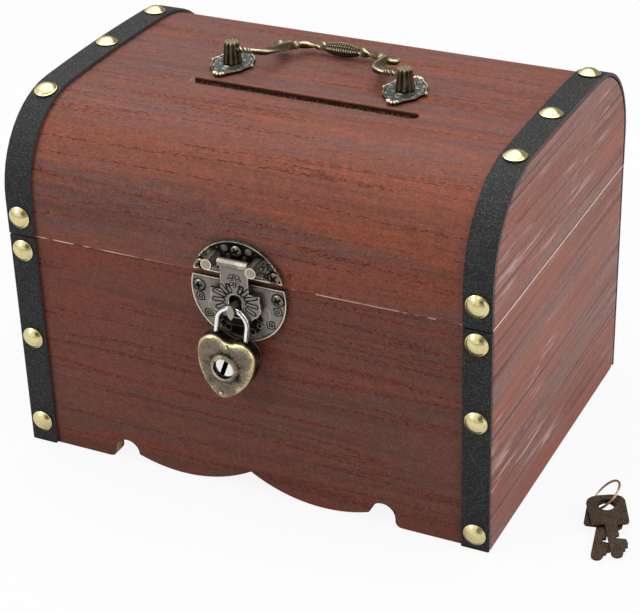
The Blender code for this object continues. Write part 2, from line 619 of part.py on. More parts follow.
def make_hasp(lid):
    back, face = FRONT - CLEARANCE, FRONT - CLEARANCE - PLATE
    flap = pivot("flap_axis", FLAP_AXIS, lid)

    outline = plate_outline(UPPER_PLATE_RADIUS, SEAM - UPPER_PLATE_DROP, SEAM + UPPER_PLATE_EDGE, True)
    upper = piece("hasp_upper_plate", prism(outline, "Y", face, back), PEWTER, lid, 40.0)
    for way in (-1, 1):
        profile = [(0, PLATE / 2), (POST_ROOT / 2, PLATE / 2), (POST_ROOT / 2, 0),
                   (POST_TIP / 2, -POST_LENGTH), (0, -POST_LENGTH)]
        post = turned(profile, 16, (way * POST_SPREAD / 2, face, FLAP_AXIS[2]), "Y")
        boolean(upper, post, "UNION")
    pin_reach = POST_SPREAD / 2 + POST_ROOT / 2
    pin_hole = rod(FLAP_PIN / 2 + CLEARANCE, -pin_reach - OVERRUN, pin_reach + OVERRUN, 12, "X", FLAP_AXIS)
    boolean(upper, joined([pin_hole] + [screw_hole(*spot) for spot in UPPER_SCREWS]))
    piece("hasp_hinge_pin", rod(FLAP_PIN / 2, -pin_reach, pin_reach, 12, "X", FLAP_AXIS), STEEL, lid, 50.0)

    top = FLAP_AXIS[2]
    half = [(FLAP_NECK / 2, top), (FLAP_NECK / 2, top - FLAP_LENGTH * FLAP_WING_SHARES[0][1])]
    half += [(a * FLAP_SPAN / 2, top - b * FLAP_LENGTH) for a, b in FLAP_WING_SHARES]
    leaf = piece("hasp_flap", prism(mirrored(half), "Y", FLAP_FRONT, FLAP_FRONT + FLAP), PEWTER, flap, 40.0)
    boolean(leaf, rod(BARREL / 2, -BARREL_LENGTH / 2, BARREL_LENGTH / 2, 16, "X", FLAP_AXIS), "UNION")
    wide = FLAP_HOLE / 2
    hole = arc((0, top - FLAP_HOLE_TOP - wide), wide, 0.0, 180.0, 10)
    hole += [(-wide, top - FLAP_HOLE_BOTTOM), (wide, top - FLAP_HOLE_BOTTOM)]
    bore = rod(FLAP_PIN / 2 + CLEARANCE, -BARREL_LENGTH, BARREL_LENGTH, 12, "X", FLAP_AXIS)
    boolean(leaf, joined([prism(hole, "Y", FLAP_FRONT - OVERRUN, FLAP_FRONT + FLAP + OVERRUN), bore]))

    outline = plate_outline(LOWER_PLATE_RADIUS, SEAM - LOWER_PLATE_DROP, SEAM - LOWER_PLATE_EDGE, False)
    lower = piece("hasp_lower_plate", prism(outline, "Y", face, back), PEWTER, None, 40.0)
    wide, tall = STAPLE_WIDTH / 2, STAPLE_HEIGHT / 2
    bulge = (wide ** 2 + tall ** 2) / (2 * wide)
    sweep = math.degrees(math.asin(tall / bulge))
    almond = arc((wide - bulge, EYE[2]), bulge, -sweep, sweep, 8)
    almond += arc((bulge - wide, EYE[2]), bulge, 180.0 - sweep, 180.0 + sweep, 8)[1:-1]
    boolean(lower, prism(almond, "Y", EYE[1] - EYE_RADIUS - STAPLE_WALL, face + PLATE / 2), "UNION")
    eye = rod(EYE_RADIUS, -STAPLE_WIDTH, STAPLE_WIDTH, 16, "X", EYE)
    boolean(lower, joined([eye] + [screw_hole(*spot) for spot in LOWER_SCREWS]))

    for number, (x, z) in enumerate(UPPER_SCREWS, 1):
        make_screw(f"hasp_screw_upper_{number}", x, z, lid)
    for number, (x, z) in enumerate(LOWER_SCREWS, 1):
        make_screw(f"hasp_screw_lower_{number}", x, z, None)
    boolean(bpy.data.objects["lid_shell"], joined([screw_hole(*spot) for spot in UPPER_SCREWS]))
    boolean(bpy.data.objects["case_front"], joined([screw_hole(*spot) for spot in LOWER_SCREWS]))


def heart_outline():
    """Two lobes, a shallow dip between them, and full flanks that run into a rounded tip, all arcs."""
    lobe, tip = Vector((LOBE_SPREAD / 2, -SHACKLE_ABOVE - LOBE_RADIUS)), Vector((0, 0))
    tip.y = lobe.y - HEART_REACH
    low = LOBE_RADIUS - HEART_DIP
    dip = (lobe.x ** 2 + low ** 2 - LOBE_RADIUS ** 2) / (2 * HEART_DIP)
    dip_z = lobe.y + low + dip
    lean = math.degrees(math.atan2(dip_z - lobe.y, -lobe.x))
    # The flank's arc touches both circles from outside, so its centre lies this far from theirs
    near, far = FLANK_RADIUS - LOBE_RADIUS, FLANK_RADIUS - TIP_RADIUS
    way = tip - lobe
    along = (near ** 2 - far ** 2 + way.length ** 2) / (2 * way.length)
    aside = math.sqrt(near ** 2 - along ** 2)
    unit = way.normalized()
    centre = lobe + unit * along + Vector((unit.y, -unit.x)) * aside
    high_deg, low_deg = (math.degrees(math.atan2(*reversed(spot - centre))) for spot in (lobe, tip))
    half = arc((0, dip_z), dip, -90.0, lean - 180.0, 3)[:-1]
    half += arc(lobe, LOBE_RADIUS, lean, high_deg, 10)
    half += arc(centre, FLANK_RADIUS, high_deg, low_deg, 6)[1:]
    half += arc(tip, TIP_RADIUS, low_deg, -90.0, 5)[1:]
    return mirrored(half)


def make_padlock():
    """Padlock in its own upright frame: the shackle's crown at zero, the body below it."""
    hang = pivot("padlock_axis", EYE, None, Matrix.Rotation(math.radians(PADLOCK_TILT_DEG), 4, "Y"))
    wire, spread = SHACKLE_WIRE / 2, SHACKLE_SPREAD / 2
    top = -SHACKLE_ABOVE
    line = [(-spread, 0, top - LONG_LEG_IN), (-spread, 0, top)]
    line += [(x, 0, z) for x, z in arc((0, -spread), spread, 180.0, 0.0, 14)]
    line += [(spread, 0, top), (spread, 0, top - SHORT_LEG_IN)]
    piece("padlock_shackle", tube(line, [wire] * len(line), 12), CHROME, hang, 50.0, local=True)

    half = HEART_THICKNESS / 2
    body = piece("padlock_body", prism(heart_outline(), "Y", -half, half), OLD_BRASS, hang, 40.0, local=True)
    round_edges(body, HEART_ROUND, 3, 60.0)
    middle = (0, -half, top - PLUG_DROP)
    profile = [(0, half / 2), (BOSS_ROOT / 2, half / 2), (BOSS_ROOT / 2, 0),
               (BOSS_TOP / 2, -BOSS_RISE), (0, -BOSS_RISE)]
    boolean(body, turned(profile, 24, middle, "Y"), "UNION", local=True)
    room = wire + CLEARANCE
    holes = [rod(PLUG / 2 + CLEARANCE, -OVERRUN, PLUG_DEPTH + CLEARANCE, 24, "Y", middle)]
    for x, deep in ((-spread, LONG_LEG_IN), (spread, SHORT_LEG_IN)):
        holes.append(rod(room, top - deep - CLEARANCE, top + OVERRUN, 12, "Z", (x, 0, 0)))
    boolean(body, joined(holes), local=True)

    turn = pivot("plug_axis", hang.matrix_world @ Vector(middle), hang, hang.matrix_world.to_3x3().to_4x4())
    cylinder = rod(PLUG / 2, PLUG_SINK, PLUG_DEPTH, 24, "Y")
    plug = piece("padlock_plug", cylinder, CHROME, turn, 50.0, local=True)
    tall, wide = KEYWAY_HEIGHT / 2, KEYWAY_WIDTH / 2
    slot = box(-wide, wide, -OVERRUN, KEYWAY_DEPTH, -tall, tall)
    boolean(plug, moved(slot, Matrix.Rotation(math.radians(KEYWAY_TILT_DEG), 4, "Y")), local=True)


def make_handle(lid):
    """Two fluted standards on base plates, and a bail that lies back on the lid."""
    seat, y = LID_TOP + CLEARANCE, -HANDLE_SHIFT
    axis_z = LID_TOP + PIVOT_HEIGHT
    ends, left = HANDLE_SPREAD / 2, -HANDLE_OFFSET
    quarter = [(a * HANDLE_PLATE_WIDTH / 2, b * HANDLE_PLATE_LENGTH / 2) for a, b in HANDLE_PLATE_SHARES]
    half = [(a, -b) for a, b in reversed(quarter)] + quarter
    outline = half + [(-a, b) for a, b in reversed(half)]

    def flute(angle):
        return 1.0 + FLUTE_DEPTH_SHARE * math.cos(STANDARD_FLUTES * angle)

    for side, way in SIDES.items():
        place = (left + way * ends, y, 0)
        plate = moved(prism(outline, "Z", seat, seat + HANDLE_PLATE), Matrix.Translation(place))
        post = piece(f"handle_standard_{side}", plate, BRONZE, lid, 50.0)
        foot = seat + HANDLE_PLATE
        head = foot + STANDARD_HEIGHT
        profile = [(0, seat + HANDLE_PLATE / 2), (STANDARD_ROOT / 2, seat + HANDLE_PLATE / 2),
                   (STANDARD_ROOT / 2, foot), (STANDARD_TOP / 2, head), (0, head)]
        boolean(post, turned(profile, 4 * STANDARD_FLUTES, place, "Z", flute), "UNION")
        inner = ends - STANDARD_ROOT
        low, high = sorted((left + way * inner, left + way * (ends + BAIL_END)))
        boolean(post, rod(BAIL_END / 2 + CLEARANCE, low, high, 12, "X", (0, y, axis_z)))

    swing = pivot("bail_axis", (0, y, axis_z), lid)
    droop = math.asin((PIVOT_HEIGHT - GRIP / 2 - GRIP_CLEAR) / BAIL_LENGTH)
    half = [(ends + BAIL_END / 2, 0, BAIL_END / 2), (ends - STANDARD_ROOT / 2 - CLEARANCE, 0, BAIL_END / 2)]
    half += [(a * ends, b * BAIL_LENGTH, c * BAIL_ARM / 2) for a, b, c in BAIL_LINE_SHARES]
    steps = 8
    grip = []
    for i in range(1, steps):
        share = 1 - 2 * i / steps
        grip.append((share * GRIP_LENGTH / 2, BAIL_LENGTH, GRIP / 2 * (1 - GRIP_TAPER_SHARE * share ** 2)))
    other = [(-a, b, c) for a, b, c in reversed(half)]
    full = half + [(GRIP_LENGTH / 2, BAIL_LENGTH, BAIL_ARM / 2)] + grip
    full += [(-GRIP_LENGTH / 2, BAIL_LENGTH, BAIL_ARM / 2)] + other
    line = [(left + a, y + b * math.cos(droop), axis_z - b * math.sin(droop)) for a, b, c in full]
    piece("handle_bail", tube(line, [c for a, b, c in full], 10), BRONZE, swing, 60.0)


def key_shape():
    """A flat key pointing along -Y, its hole's centre at zero, its underside at height zero."""
    wide = KEY_HEAD_WIDTH / 2
    top = KEY_HOLE_INSET
    blade = KEY_BLADE / 2
    right = [(a * wide, top - b * KEY_LENGTH) for a, b in KEY_HEAD_SHARES + KEY_BIT_SHARES]
    tip = arc((0, top - KEY_LENGTH + blade), blade, 0.0, -180.0, 6)
    left = [(-a * wide, top - b * KEY_LENGTH) for a, b in reversed(KEY_HEAD_SHARES)]
    shoulder = [(-blade, top - KEY_HEAD_SHARES[-1][1] * KEY_LENGTH)]
    return prism(right + tip + shoulder + left, "Z", 0, KEY_PLATE)


def make_keys():
    """Two flat keys lying on each other, tips on the ground, their heads lifted by a tilted wire ring."""
    stack = 2 * KEY_PLATE + CLEARANCE
    reach = KEY_LENGTH - KEY_HOLE_INSET
    tilt = math.radians(RING_TILT_DEG)
    lift = RING_RADIUS * math.sin(tilt) + RING_WIRE / 2 - stack / 2
    pitch = math.asin(lift / (reach + RING_RADIUS))
    place = (HALF_WIDTH + KEYS_OUT, -KEYS_FORWARD_SHARE * HALF_DEPTH,
             GROUND + CLEARANCE + reach * math.sin(pitch))
    turns = [math.radians(turn) for turn in KEY_TURNS_DEG]
    lean = Matrix.Rotation(turns[0], 4, "Z") @ Matrix.Rotation(pitch, 4, "X")
    rest = pivot("keys_place", place, None, lean)
    hole = turned([(0, -OVERRUN), (KEY_HOLE / 2, -OVERRUN), (KEY_HOLE / 2, OVERRUN), (0, OVERRUN)], 20)
    for number, turn in enumerate(turns, 1):
        up = (number - 1) * (KEY_PLATE + CLEARANCE)
        shift = Matrix.Translation((0, 0, up)) @ Matrix.Rotation(turn - turns[0], 4, "Z")
        key = piece(f"key_{number}", moved(key_shape(), shift), KEY_METAL, rest, local=True)
        boolean(key, moved(hole, shift), local=True)
    across = Vector((math.cos(tilt), 0, math.sin(tilt)))
    middle = Matrix.Rotation((turns[1] - turns[0]) / 2, 3, "Z") @ Vector((0, RING_RADIUS, 0))
    middle.z = stack / 2
    steps = 36
    line = []
    for i in range(steps):
        angle = 2 * math.pi * i / steps
        line.append(middle + RING_RADIUS * (math.cos(angle) * across - math.sin(angle) * Vector((0, 1, 0))))
    ring = tube(line, [RING_WIRE / 2] * steps, 8, closed=True)
    piece("key_ring", ring, RING_METAL, rest, 60.0, local=True)


lid_axis = pivot("lid_axis", (0, HINGE_Y, SEAM))
make_case()
make_lid(lid_axis)
make_straps(lid_axis)
make_tacks(lid_axis)
make_hinges(lid_axis)
make_hasp(lid_axis)
make_padlock()
make_handle(lid_axis)
make_keys()
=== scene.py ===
# %% [markdown]
# # Dressing a treasure chest money box
# The CAD model holds the solids of a small wooden money chest: panels, straps, tacks, a round hasp, a heart
# padlock, a bail handle and two keys. This lesson gives each of them the finish of the real thing. We load
# the model once, read our landmarks from its nodes, and never move any of them.

# %% Load the chest and read its landmarks
import math
from functools import partial

import bpy
import numpy as np
from mathutils import Matrix, Vector


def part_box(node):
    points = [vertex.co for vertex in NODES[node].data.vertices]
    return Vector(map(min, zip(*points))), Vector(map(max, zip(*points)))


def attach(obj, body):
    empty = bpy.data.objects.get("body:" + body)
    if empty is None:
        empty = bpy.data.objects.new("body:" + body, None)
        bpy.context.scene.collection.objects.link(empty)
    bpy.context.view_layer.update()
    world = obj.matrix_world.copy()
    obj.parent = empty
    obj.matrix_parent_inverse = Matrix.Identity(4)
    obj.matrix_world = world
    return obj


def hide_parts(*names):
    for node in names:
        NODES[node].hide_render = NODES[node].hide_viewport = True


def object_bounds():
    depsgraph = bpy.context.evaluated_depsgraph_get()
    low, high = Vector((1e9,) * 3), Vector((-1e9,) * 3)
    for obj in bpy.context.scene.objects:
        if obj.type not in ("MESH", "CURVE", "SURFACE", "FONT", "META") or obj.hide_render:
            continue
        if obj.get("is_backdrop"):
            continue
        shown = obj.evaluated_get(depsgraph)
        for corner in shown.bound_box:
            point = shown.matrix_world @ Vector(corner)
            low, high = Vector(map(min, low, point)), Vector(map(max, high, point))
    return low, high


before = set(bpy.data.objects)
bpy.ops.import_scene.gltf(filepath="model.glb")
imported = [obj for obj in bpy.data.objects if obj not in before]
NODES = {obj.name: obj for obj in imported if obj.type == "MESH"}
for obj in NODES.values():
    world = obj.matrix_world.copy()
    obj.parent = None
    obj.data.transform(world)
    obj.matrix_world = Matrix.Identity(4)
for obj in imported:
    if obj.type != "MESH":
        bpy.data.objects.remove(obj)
MM = 0.001
box_at_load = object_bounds()
FRONT_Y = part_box("case_front")[0].y
END_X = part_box("case_right")[1].x
LID_FOOT_Z, LID_TOP_Z = (corner.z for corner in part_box("lid_shell"))
SEAM_Z = (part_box("case_front")[1].z + LID_FOOT_Z) / 2
GROUND_Z = box_at_load[0].z
print(f"front at y {FRONT_Y:.4f}, end at x {END_X:.4f}, seam at z {SEAM_Z:.4f}, lid top at z {LID_TOP_Z:.4f}")

# %% [markdown]
# ## Camera and lamps
# A product photographer stands such a chest on a white sweep. The camera's place comes from fitting a
# perspective to the corners of the chest. Two wide soft lamps, overhead and at the right end, light the wood
# evenly. A small one at the front left draws the highlights on the metal and the shadow beside the padlock.


# %% Camera
def add_object(name, data):
    """A new object in the scene, at the origin."""
    made = bpy.data.objects.new(name, data)
    bpy.context.scene.collection.objects.link(made)
    return made


def aimed(at, target, roll_deg=0.0):
    """Matrix of a camera or lamp that looks from one place at another."""
    aim = (target - at).to_track_quat("-Z", "Y").to_matrix()
    return Matrix.Translation(at) @ (aim @ Matrix.Rotation(math.radians(roll_deg), 3, "Z")).to_4x4()


CAMERA_AT = Vector((0.28010, -0.56905, 0.38989))
CAMERA_LOOKS_AT = Vector((-0.01024, 0.01443, 0.02185))
CAMERA_ROLL_DEG, CAMERA_LENS_MM = -1.88, 111.20

camera = add_object("camera", bpy.data.cameras.new("camera"))
camera.matrix_world = aimed(CAMERA_AT, CAMERA_LOOKS_AT, CAMERA_ROLL_DEG)
camera.data.lens, camera.data.sensor_width = CAMERA_LENS_MM, 36
camera.data.clip_start, camera.data.clip_end = 0.01, 20
bpy.context.scene.camera = camera
bpy.context.scene.view_settings.view_transform = "Standard"
print(f"camera {(CAMERA_AT - CAMERA_LOOKS_AT).length:.3f} m from the middle of the view")

# %% Lamps
MIDDLE = Vector((0, 0, 0.05))  # of the chest
LAMPS = (("overhead_lamp", (-0.15, 0.10, 1.00), 1.40, 10.9), ("right_lamp", (1.00, -0.10, 0.45), 1.30, 8.8),
         ("front_lamp", (-0.80, -0.85, 0.75), 0.32, 4.4))
for name, at, width, watts in LAMPS:
    lamp = add_object(name, bpy.data.lights.new(name, "AREA"))
    lamp.data.size, lamp.data.energy = width, watts
    lamp.matrix_world = aimed(Vector(at), MIDDLE)
print(len(LAMPS), "soft lamps")

# %% [markdown]
# ## Tools for shader nodes
# A material is a graph of small nodes. Wiring them by hand takes many lines, so we wrap what a node puts
# out in a Value: a sum written with it, such as (speckle - 0.5) * 0.3, adds the Math nodes for us. A Finish
# is one material in the making, with the few nodes that this chest needs.


# %% Node tools
def connect(tree, value, socket):
    """Sets a socket to a plain value, or links it to another node's output."""
    value = getattr(value, "socket", value)
    if isinstance(value, bpy.types.NodeSocket):
        tree.links.new(value, socket)
    else:
        socket.default_value = value


def add_node(tree, kind, inputs=(), **settings):
    made = tree.nodes.new(kind)
    for key, value in settings.items():
        setattr(made, key, value)
    for key, value in dict(inputs).items():
        connect(tree, value, made.inputs[key])
    return made


def grey(level):
    return (level, level, level, 1)


def paint(red, green, blue):
    """A colour written as screen values from 0 to 255, as linear light."""
    return tuple(((c / 255 + 0.055) / 1.055) ** 2.4 if c > 10 else c / 255 / 12.92
                 for c in (red, green, blue)) + (1.0,)


print("mid grey on screen is", round(paint(128, 128, 128)[0], 3), "in linear light")


# %% Values
class Value:
    """A number that varies over the surface. Each sum with it adds one Math node."""

    def __init__(self, finish, socket):
        self.finish, self.socket = finish, socket

    def step(self, low, high, start=0.0, end=1.0):
        """A soft step: start below low, end above high."""
        return Value(self.finish, self.finish.node(
            "ShaderNodeMapRange", {"Value": self, "From Min": low, "From Max": high, "To Min": start,
                                   "To Max": end}, interpolation_type="SMOOTHSTEP").outputs[0])

    def larger(self, other):
        return self.finish.math("MAXIMUM", self, other)

    def __abs__(self):
        return self.finish.math("ABSOLUTE", self)

    def __add__(self, other):
        return self.finish.math("ADD", self, other)

    def __sub__(self, other):
        return self.finish.math("SUBTRACT", self, other)

    def __rsub__(self, other):
        return self.finish.math("SUBTRACT", other, self)

    def __mul__(self, other):
        return self.finish.math("MULTIPLY", self, other)

    def __lt__(self, other):
        return self.finish.math("LESS_THAN", self, other)

    def __gt__(self, other):
        return self.finish.math("GREATER_THAN", self, other)


# %% Finishes
class Finish:
    """A material in the making. place and normal are the Object coordinates and the surface's direction."""

    def __init__(self, name, roughness=0.5, metallic=0.0, specular=0.5):
        self.material = bpy.data.materials.new(name)
        self.material.use_nodes = True
        self.tree = self.material.node_tree
        self.sockets = self.tree.nodes["Principled BSDF"].inputs
        for key, value in (("Metallic", metallic), ("Roughness", roughness), ("Specular IOR Level", specular)):
            self.sockets[key].default_value = value
        coordinates = self.node("ShaderNodeTexCoord").outputs
        self.place, self.normal = coordinates["Object"], coordinates["Normal"]

    def node(self, kind, inputs=(), **settings):
        return add_node(self.tree, kind, inputs, **settings)

    def math(self, operation, a, b=0.0):
        return Value(self, self.node("ShaderNodeMath", {0: a, 1: b, 2: 0.0}, operation=operation).outputs[0])

    def vector(self, operation, a, b):
        return self.node("ShaderNodeVectorMath", {0: a, 1: b}, operation=operation).outputs

    def axes(self, vector=None):
        """X, Y and Z of a vector, or else of the place."""
        split = self.node("ShaderNodeSeparateXYZ", {0: vector or self.place})
        return [Value(self, split.outputs[name]) for name in "XYZ"]

    def noise(self, per_metre, detail=3.0, rough=0.55, swirl=0.0):
        """Cloudy noise: patches per metre, as one count or three, how fine it goes, how rough, how swirled."""
        if isinstance(per_metre, int):
            per_metre = (per_metre,) * 3
        stretched = self.vector("MULTIPLY", self.place, per_metre)["Vector"]
        return Value(self, self.node("ShaderNodeTexNoise", {
            "Vector": stretched, "Scale": 1.0, "Detail": detail, "Roughness": rough,
            "Distortion": swirl}).outputs["Fac"])

    def mix(self, share, under, over, blend="MIX"):
        """The colour under, and over it another by its share."""
        return self.node("ShaderNodeMix", {0: share, 6: under, 7: over}, data_type="RGBA",
                         blend_type=blend).outputs[2]

    def layers(self, colour, *coats):
        """A colour under several coats, each given as (share, colour)."""
        for share, coat in coats:
            colour = self.mix(share, colour, coat)
        return colour

    def bump(self, height, depth, under=(0, 0, 0)):
        """Raises the surface by depth metres where height is 1, on top of another bump."""
        made = self.node("ShaderNodeBump", {"Height": height, "Distance": depth, "Strength": 1.0,
                                            "Normal": under})
        connect(self.tree, made.outputs[0], self.sockets["Normal"])
        return made.outputs[0]

    def done(self, colour, roughness=None):
        """Gives the shader its colour and, where it varies, its roughness."""
        connect(self.tree, colour, self.sockets["Base Color"])
        if roughness:
            connect(self.tree, roughness, self.sockets["Roughness"])
        return self.material


# %% [markdown]
# ## A white room
# Rays from the camera see plain white. Shiny metal mirrors the room, so it needs more than that: the room
# is bright on the window's side and dimmer at the far wall, and the photographer stands dark before it,
# which every tack shows as a dark spot. Dull surfaces get a low even light. The floor is white paper that
# keeps the shadow.

# %% World
ROOM_LIGHT = 0.13  # what dull surfaces get from all sides
DARK_SPOT = 0.16  # what shiny metal sees of the photographer
FAR_WALL = 0.32  # and what it sees away from the window
PHOTOGRAPHER = (CAMERA_AT - MIDDLE).normalized()
WINDOW_SIDE = Vector((-0.62, -0.40, 0.68))

world = bpy.data.worlds.new("white_room")
world.use_nodes = True
bpy.context.scene.world = world
room = partial(add_node, world.node_tree)
direction = room("ShaderNodeTexCoord").outputs["Generated"]
rays = room("ShaderNodeLightPath").outputs


def facing(way, *stops):
    """Grey levels by the dot product of a ray and a way. Each stop is (dot product, level)."""
    dot = room("ShaderNodeVectorMath", {0: direction, 1: way}, operation="DOT_PRODUCT").outputs["Value"]
    ramp = room("ShaderNodeValToRGB", {0: dot})
    for mark, (at, level) in zip(ramp.color_ramp.elements, stops):
        mark.position, mark.color = at, grey(level)
    return ramp.outputs[0]


def room_mix(share, under, over, blend="MIX"):
    return room("ShaderNodeMix", {0: share, 6: under, 7: over}, data_type="RGBA", blend_type=blend).outputs[2]


mirrored = room_mix(1.0, facing(PHOTOGRAPHER, (0.915, 1), (0.980, DARK_SPOT)),
                    facing(WINDOW_SIDE, (0.0, FAR_WALL), (0.55, 1.0)), "MULTIPLY")
lit = room_mix(rays["Is Glossy Ray"], grey(ROOM_LIGHT), mirrored)
seen = room_mix(rays["Is Camera Ray"], lit, grey(1))
connect(world.node_tree, seen, world.node_tree.nodes["Background"].inputs["Color"])
print("white room, dull surfaces lit at", ROOM_LIGHT)

# %% Floor
FLOOR_REACH = 6.0
FLOOR_GLOW = 0.90  # share of plain white in what the camera sees of the floor
floor_mesh = bpy.data.meshes.new("floor")
floor_mesh.from_pydata([(x * FLOOR_REACH, y * FLOOR_REACH, GROUND_Z) for x, y in
                        ((-1, -1), (1, -1), (1, 1), (-1, 1))], [], [(0, 1, 2, 3)])
paper = Finish("white_paper", roughness=0.9)
paper.done(grey(0.86))
glow = paper.node("ShaderNodeEmission", {"Color": grey(1)}).outputs[0]
in_view = paper.math("MULTIPLY", paper.node("ShaderNodeLightPath").outputs["Is Camera Ray"], FLOOR_GLOW)
both = paper.node("ShaderNodeMixShader",
                  {0: in_view, 1: paper.tree.nodes["Principled BSDF"].outputs[0], 2: glow}).outputs[0]
connect(paper.tree, both, paper.tree.nodes["Material Output"].inputs["Surface"])
floor_mesh.materials.append(paper.material)
add_object("floor", floor_mesh)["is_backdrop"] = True
print(f"paper floor at z {GROUND_Z:.4f}")

# %% [markdown]
# ## Stained wood
# The chest is veneered with an open-pored tropical wood under a red-brown stain: a brown field with slow
# ash-coloured clouds, a few ember-red streaks, and thin dark lines that break up into dashes where the
# pores lie. We could paint a picture, but noise that is stretched along the grain does it from every side.
# All of the noise reads Object coordinates, so the grain runs on over the round shoulder of the lid without
# a seam.
#
# Where the surface looks inward, towards the middle of the box, the stain ends and raw wood shows, as it
# does on the sawn rim at the seam.

# %% Raw wood
SAW_REACH = 1.5 * MM  # level faces this close to the seam are sawn


def stretched(grain, along, across):
    """Patches per metre for noise that is long on the grain's axis."""
    return tuple(along if axis == grain else across for axis in "XYZ")


def raw_wood(finish, grain):
    """Pale unfinished wood: fine fibres along the grain and a slow change of tone."""
    fibre = finish.noise(stretched(grain, 40, 1400), 4)
    tone = finish.noise(stretched(grain, 8, 60), 2)
    return finish.layers(paint(176, 138, 104), (fibre, paint(222, 190, 152)),
                         (tone.step(0.4, 0.7), paint(196, 152, 118)))


def inward(finish, middle_z):
    """1 where normal times place is negative, so facing the middle of the box, and on the sawn rim."""
    level = abs(finish.axes(finish.normal)[2]) > 0.9
    sawn = level * (abs(finish.axes()[2] - SEAM_Z) < SAW_REACH)
    spot = finish.vector("SUBTRACT", finish.place, (0, 0, middle_z))["Vector"]
    towards = Value(finish, finish.vector("DOT_PRODUCT", finish.normal, spot)["Value"])
    return sawn.larger(towards < 0.0)


board = Finish("raw_wood", roughness=0.8)
bare_board = board.done(raw_wood(board, "X"))
print("raw wood for the bottom board")


# %% Stained wood
def stained_wood(name, grain, tones, middle_z, bold=1.0, extra=None):
    """Brown with clouds of ash, ember and dark streaks, and veins where a noise passes 0.5, full of pores."""
    finish = Finish(name, specular=0.26)
    brown, ash, ember, dark, pore = tones
    along = partial(stretched, grain)
    slow = finish.noise(along(6, 46), 3, 0.6, 0.5)
    streaks = finish.noise(along(9, 240), 3, 0.6, 0.4)
    fibres = finish.noise(along(120, 3000), 2)
    mottle = finish.noise(420, 3, 0.65)
    grit = finish.noise(along(1100, 2400), 2, 0.6)
    dashes = finish.noise(along(560, 2600), 1.5)
    dust = finish.noise(2300, 1)
    off = abs(finish.noise(along(4.5, 150), 2, 0.45, 0.3) - 0.5)
    vein = off.step(0.010, 0.042, bold, 0.0)
    wood = finish.layers(brown, (slow.step(0.43, 0.58), ash),
                         (streaks.step(0.50, 0.66, 0.0, 0.5 * bold), ember),
                         (streaks.step(0.46, 0.32, 0.0, 0.45 * bold), dark), (vein * 0.62, ember),
                         (off.step(0.003, 0.014, 0.42 * bold, 0.0), dark))
    for shade, low, high, darkest, palest in ((fibres, 0.3, 0.75, 0.82, 1.15), (mottle, 0.3, 0.7, 0.88, 1.12),
                                              (grit, 0.28, 0.72, 0.70, 1.28)):
        wood = finish.mix(1.0, wood, shade.step(low, high, darkest, palest), "MULTIPLY")
    pores = (vein * dashes.step(0.52, 0.60)).larger(dashes.step(0.66, 0.74, 0.0, 0.25 * bold))
    wood = finish.layers(wood, (pores * 0.85, pore), (dust.step(0.74, 0.82, 0.0, 0.5), paint(196, 156, 142)))
    if extra:
        wood = extra(finish, wood)
    finish.bump(mottle, 0.08 * MM, finish.bump(fibres * 0.35 - pores, 0.08 * MM))
    return finish.done(finish.mix(inward(finish, middle_z), wood, raw_wood(finish, grain)),
                       fibres.step(0.2, 0.8, 0.44, 0.60))


def scuffs(finish, wood):
    """Fine straight saw lines along the board, and long pale rubbed streaks in a few places."""
    saw = finish.noise((400, 6, 900), 2.5, 0.6)
    bands = finish.noise((60, 9, 120), 2)
    rubs = finish.noise((90, 26, 300), 3, 0.65).step(0.55, 0.70, 0.0, 0.85)
    patch = finish.noise((9, 14, 26), 2).step(0.45, 0.62)
    return finish.layers(wood, (saw.step(0.54, 0.64, 0.0, 0.85), paint(82, 43, 34)),
                         (saw.step(0.45, 0.34, 0.0, 0.40), paint(164, 126, 118)),
                         (bands.step(0.50, 0.66, 0.0, 0.6), paint(150, 84, 64)),
                         (rubs * patch, paint(184, 156, 152)))


# Brown, ash, ember, dark and pore of each wood; the ends' tones are the front's stain painted paler and pinker,
# as painted light and sheen where the ends face the right lamp.
FRONT_TONES = [paint(*c) for c in ((110, 60, 46), (99, 62, 51), (124, 56, 39), (84, 41, 31), (58, 22, 15))]
END_TONES_PAINTED_LIT = [paint(*c) for c in ((138, 84, 71), (134, 96, 88), (146, 80, 61), (104, 59, 48), (80, 41, 33))]
front_wood = stained_wood("stained_wood_front", "X", FRONT_TONES, 0.035)
end_wood_painted_lit = stained_wood("stained_wood_end", "Y", END_TONES_PAINTED_LIT, 0.06, 0.5, scuffs)
print("wood for the front, the back and the ends")

# %% [markdown]
# The coin slot is milled through the lid after staining. Its walls are painted dark brown, partly their own
# colour and partly painted shade inside the slot, darkest just below the edge, where the rear edge's shadow is
# painted, with yellow-brown speckles further down; a speckled line runs along the front lip. The lid's finish
# finds the slot by its place.

# %% Wood of the lid
SLOT_X, SLOT_Y = 0.9 * MM, -16.7 * MM
SLOT_REACH, SLOT_HALF = 43.7 * MM, 2.5 * MM
LIP_Y, LIP_REACH = SLOT_Y - 2.35 * MM, SLOT_REACH - 2.6 * MM
LID_TONES = [paint(*c) for c in ((126, 68, 50), (111, 72, 64), (145, 73, 46), (95, 50, 38), (72, 28, 19))]


def slot_shade_and_speckle(finish, wood):
    """Inside the coin slot: dark brown below the edge, partly painted shade and darkest where the rear edge's
    shadow is painted, speckled with yellow-brown further down.
    """
    x, y, z = finish.axes()
    across = abs(x - SLOT_X)
    wall = (across < SLOT_REACH) * (abs(y - SLOT_Y) < SLOT_HALF)
    wall = wall * z.step(LID_TOP_Z - 0.75 * MM, LID_TOP_Z - 0.45 * MM, 1.0, 0.0)
    grit = finish.noise(1300, 2) + z.step(LID_TOP_Z - 2.6 * MM, LID_TOP_Z - 1.0 * MM, 0.12, -0.08)
    lip = abs(y - LIP_Y).step(0.45 * MM, 0.85 * MM, 0.8, 0.0) * (across < LIP_REACH)
    speckled = finish.mix(grit.step(0.40, 0.60), paint(74, 44, 34), paint(138, 104, 66))
    wall_and_shade = finish.mix(grit.step(0.49, 0.70), paint(46, 23, 18), paint(120, 88, 56))
    return finish.layers(wood, (lip, speckled), (wall, wall_and_shade))


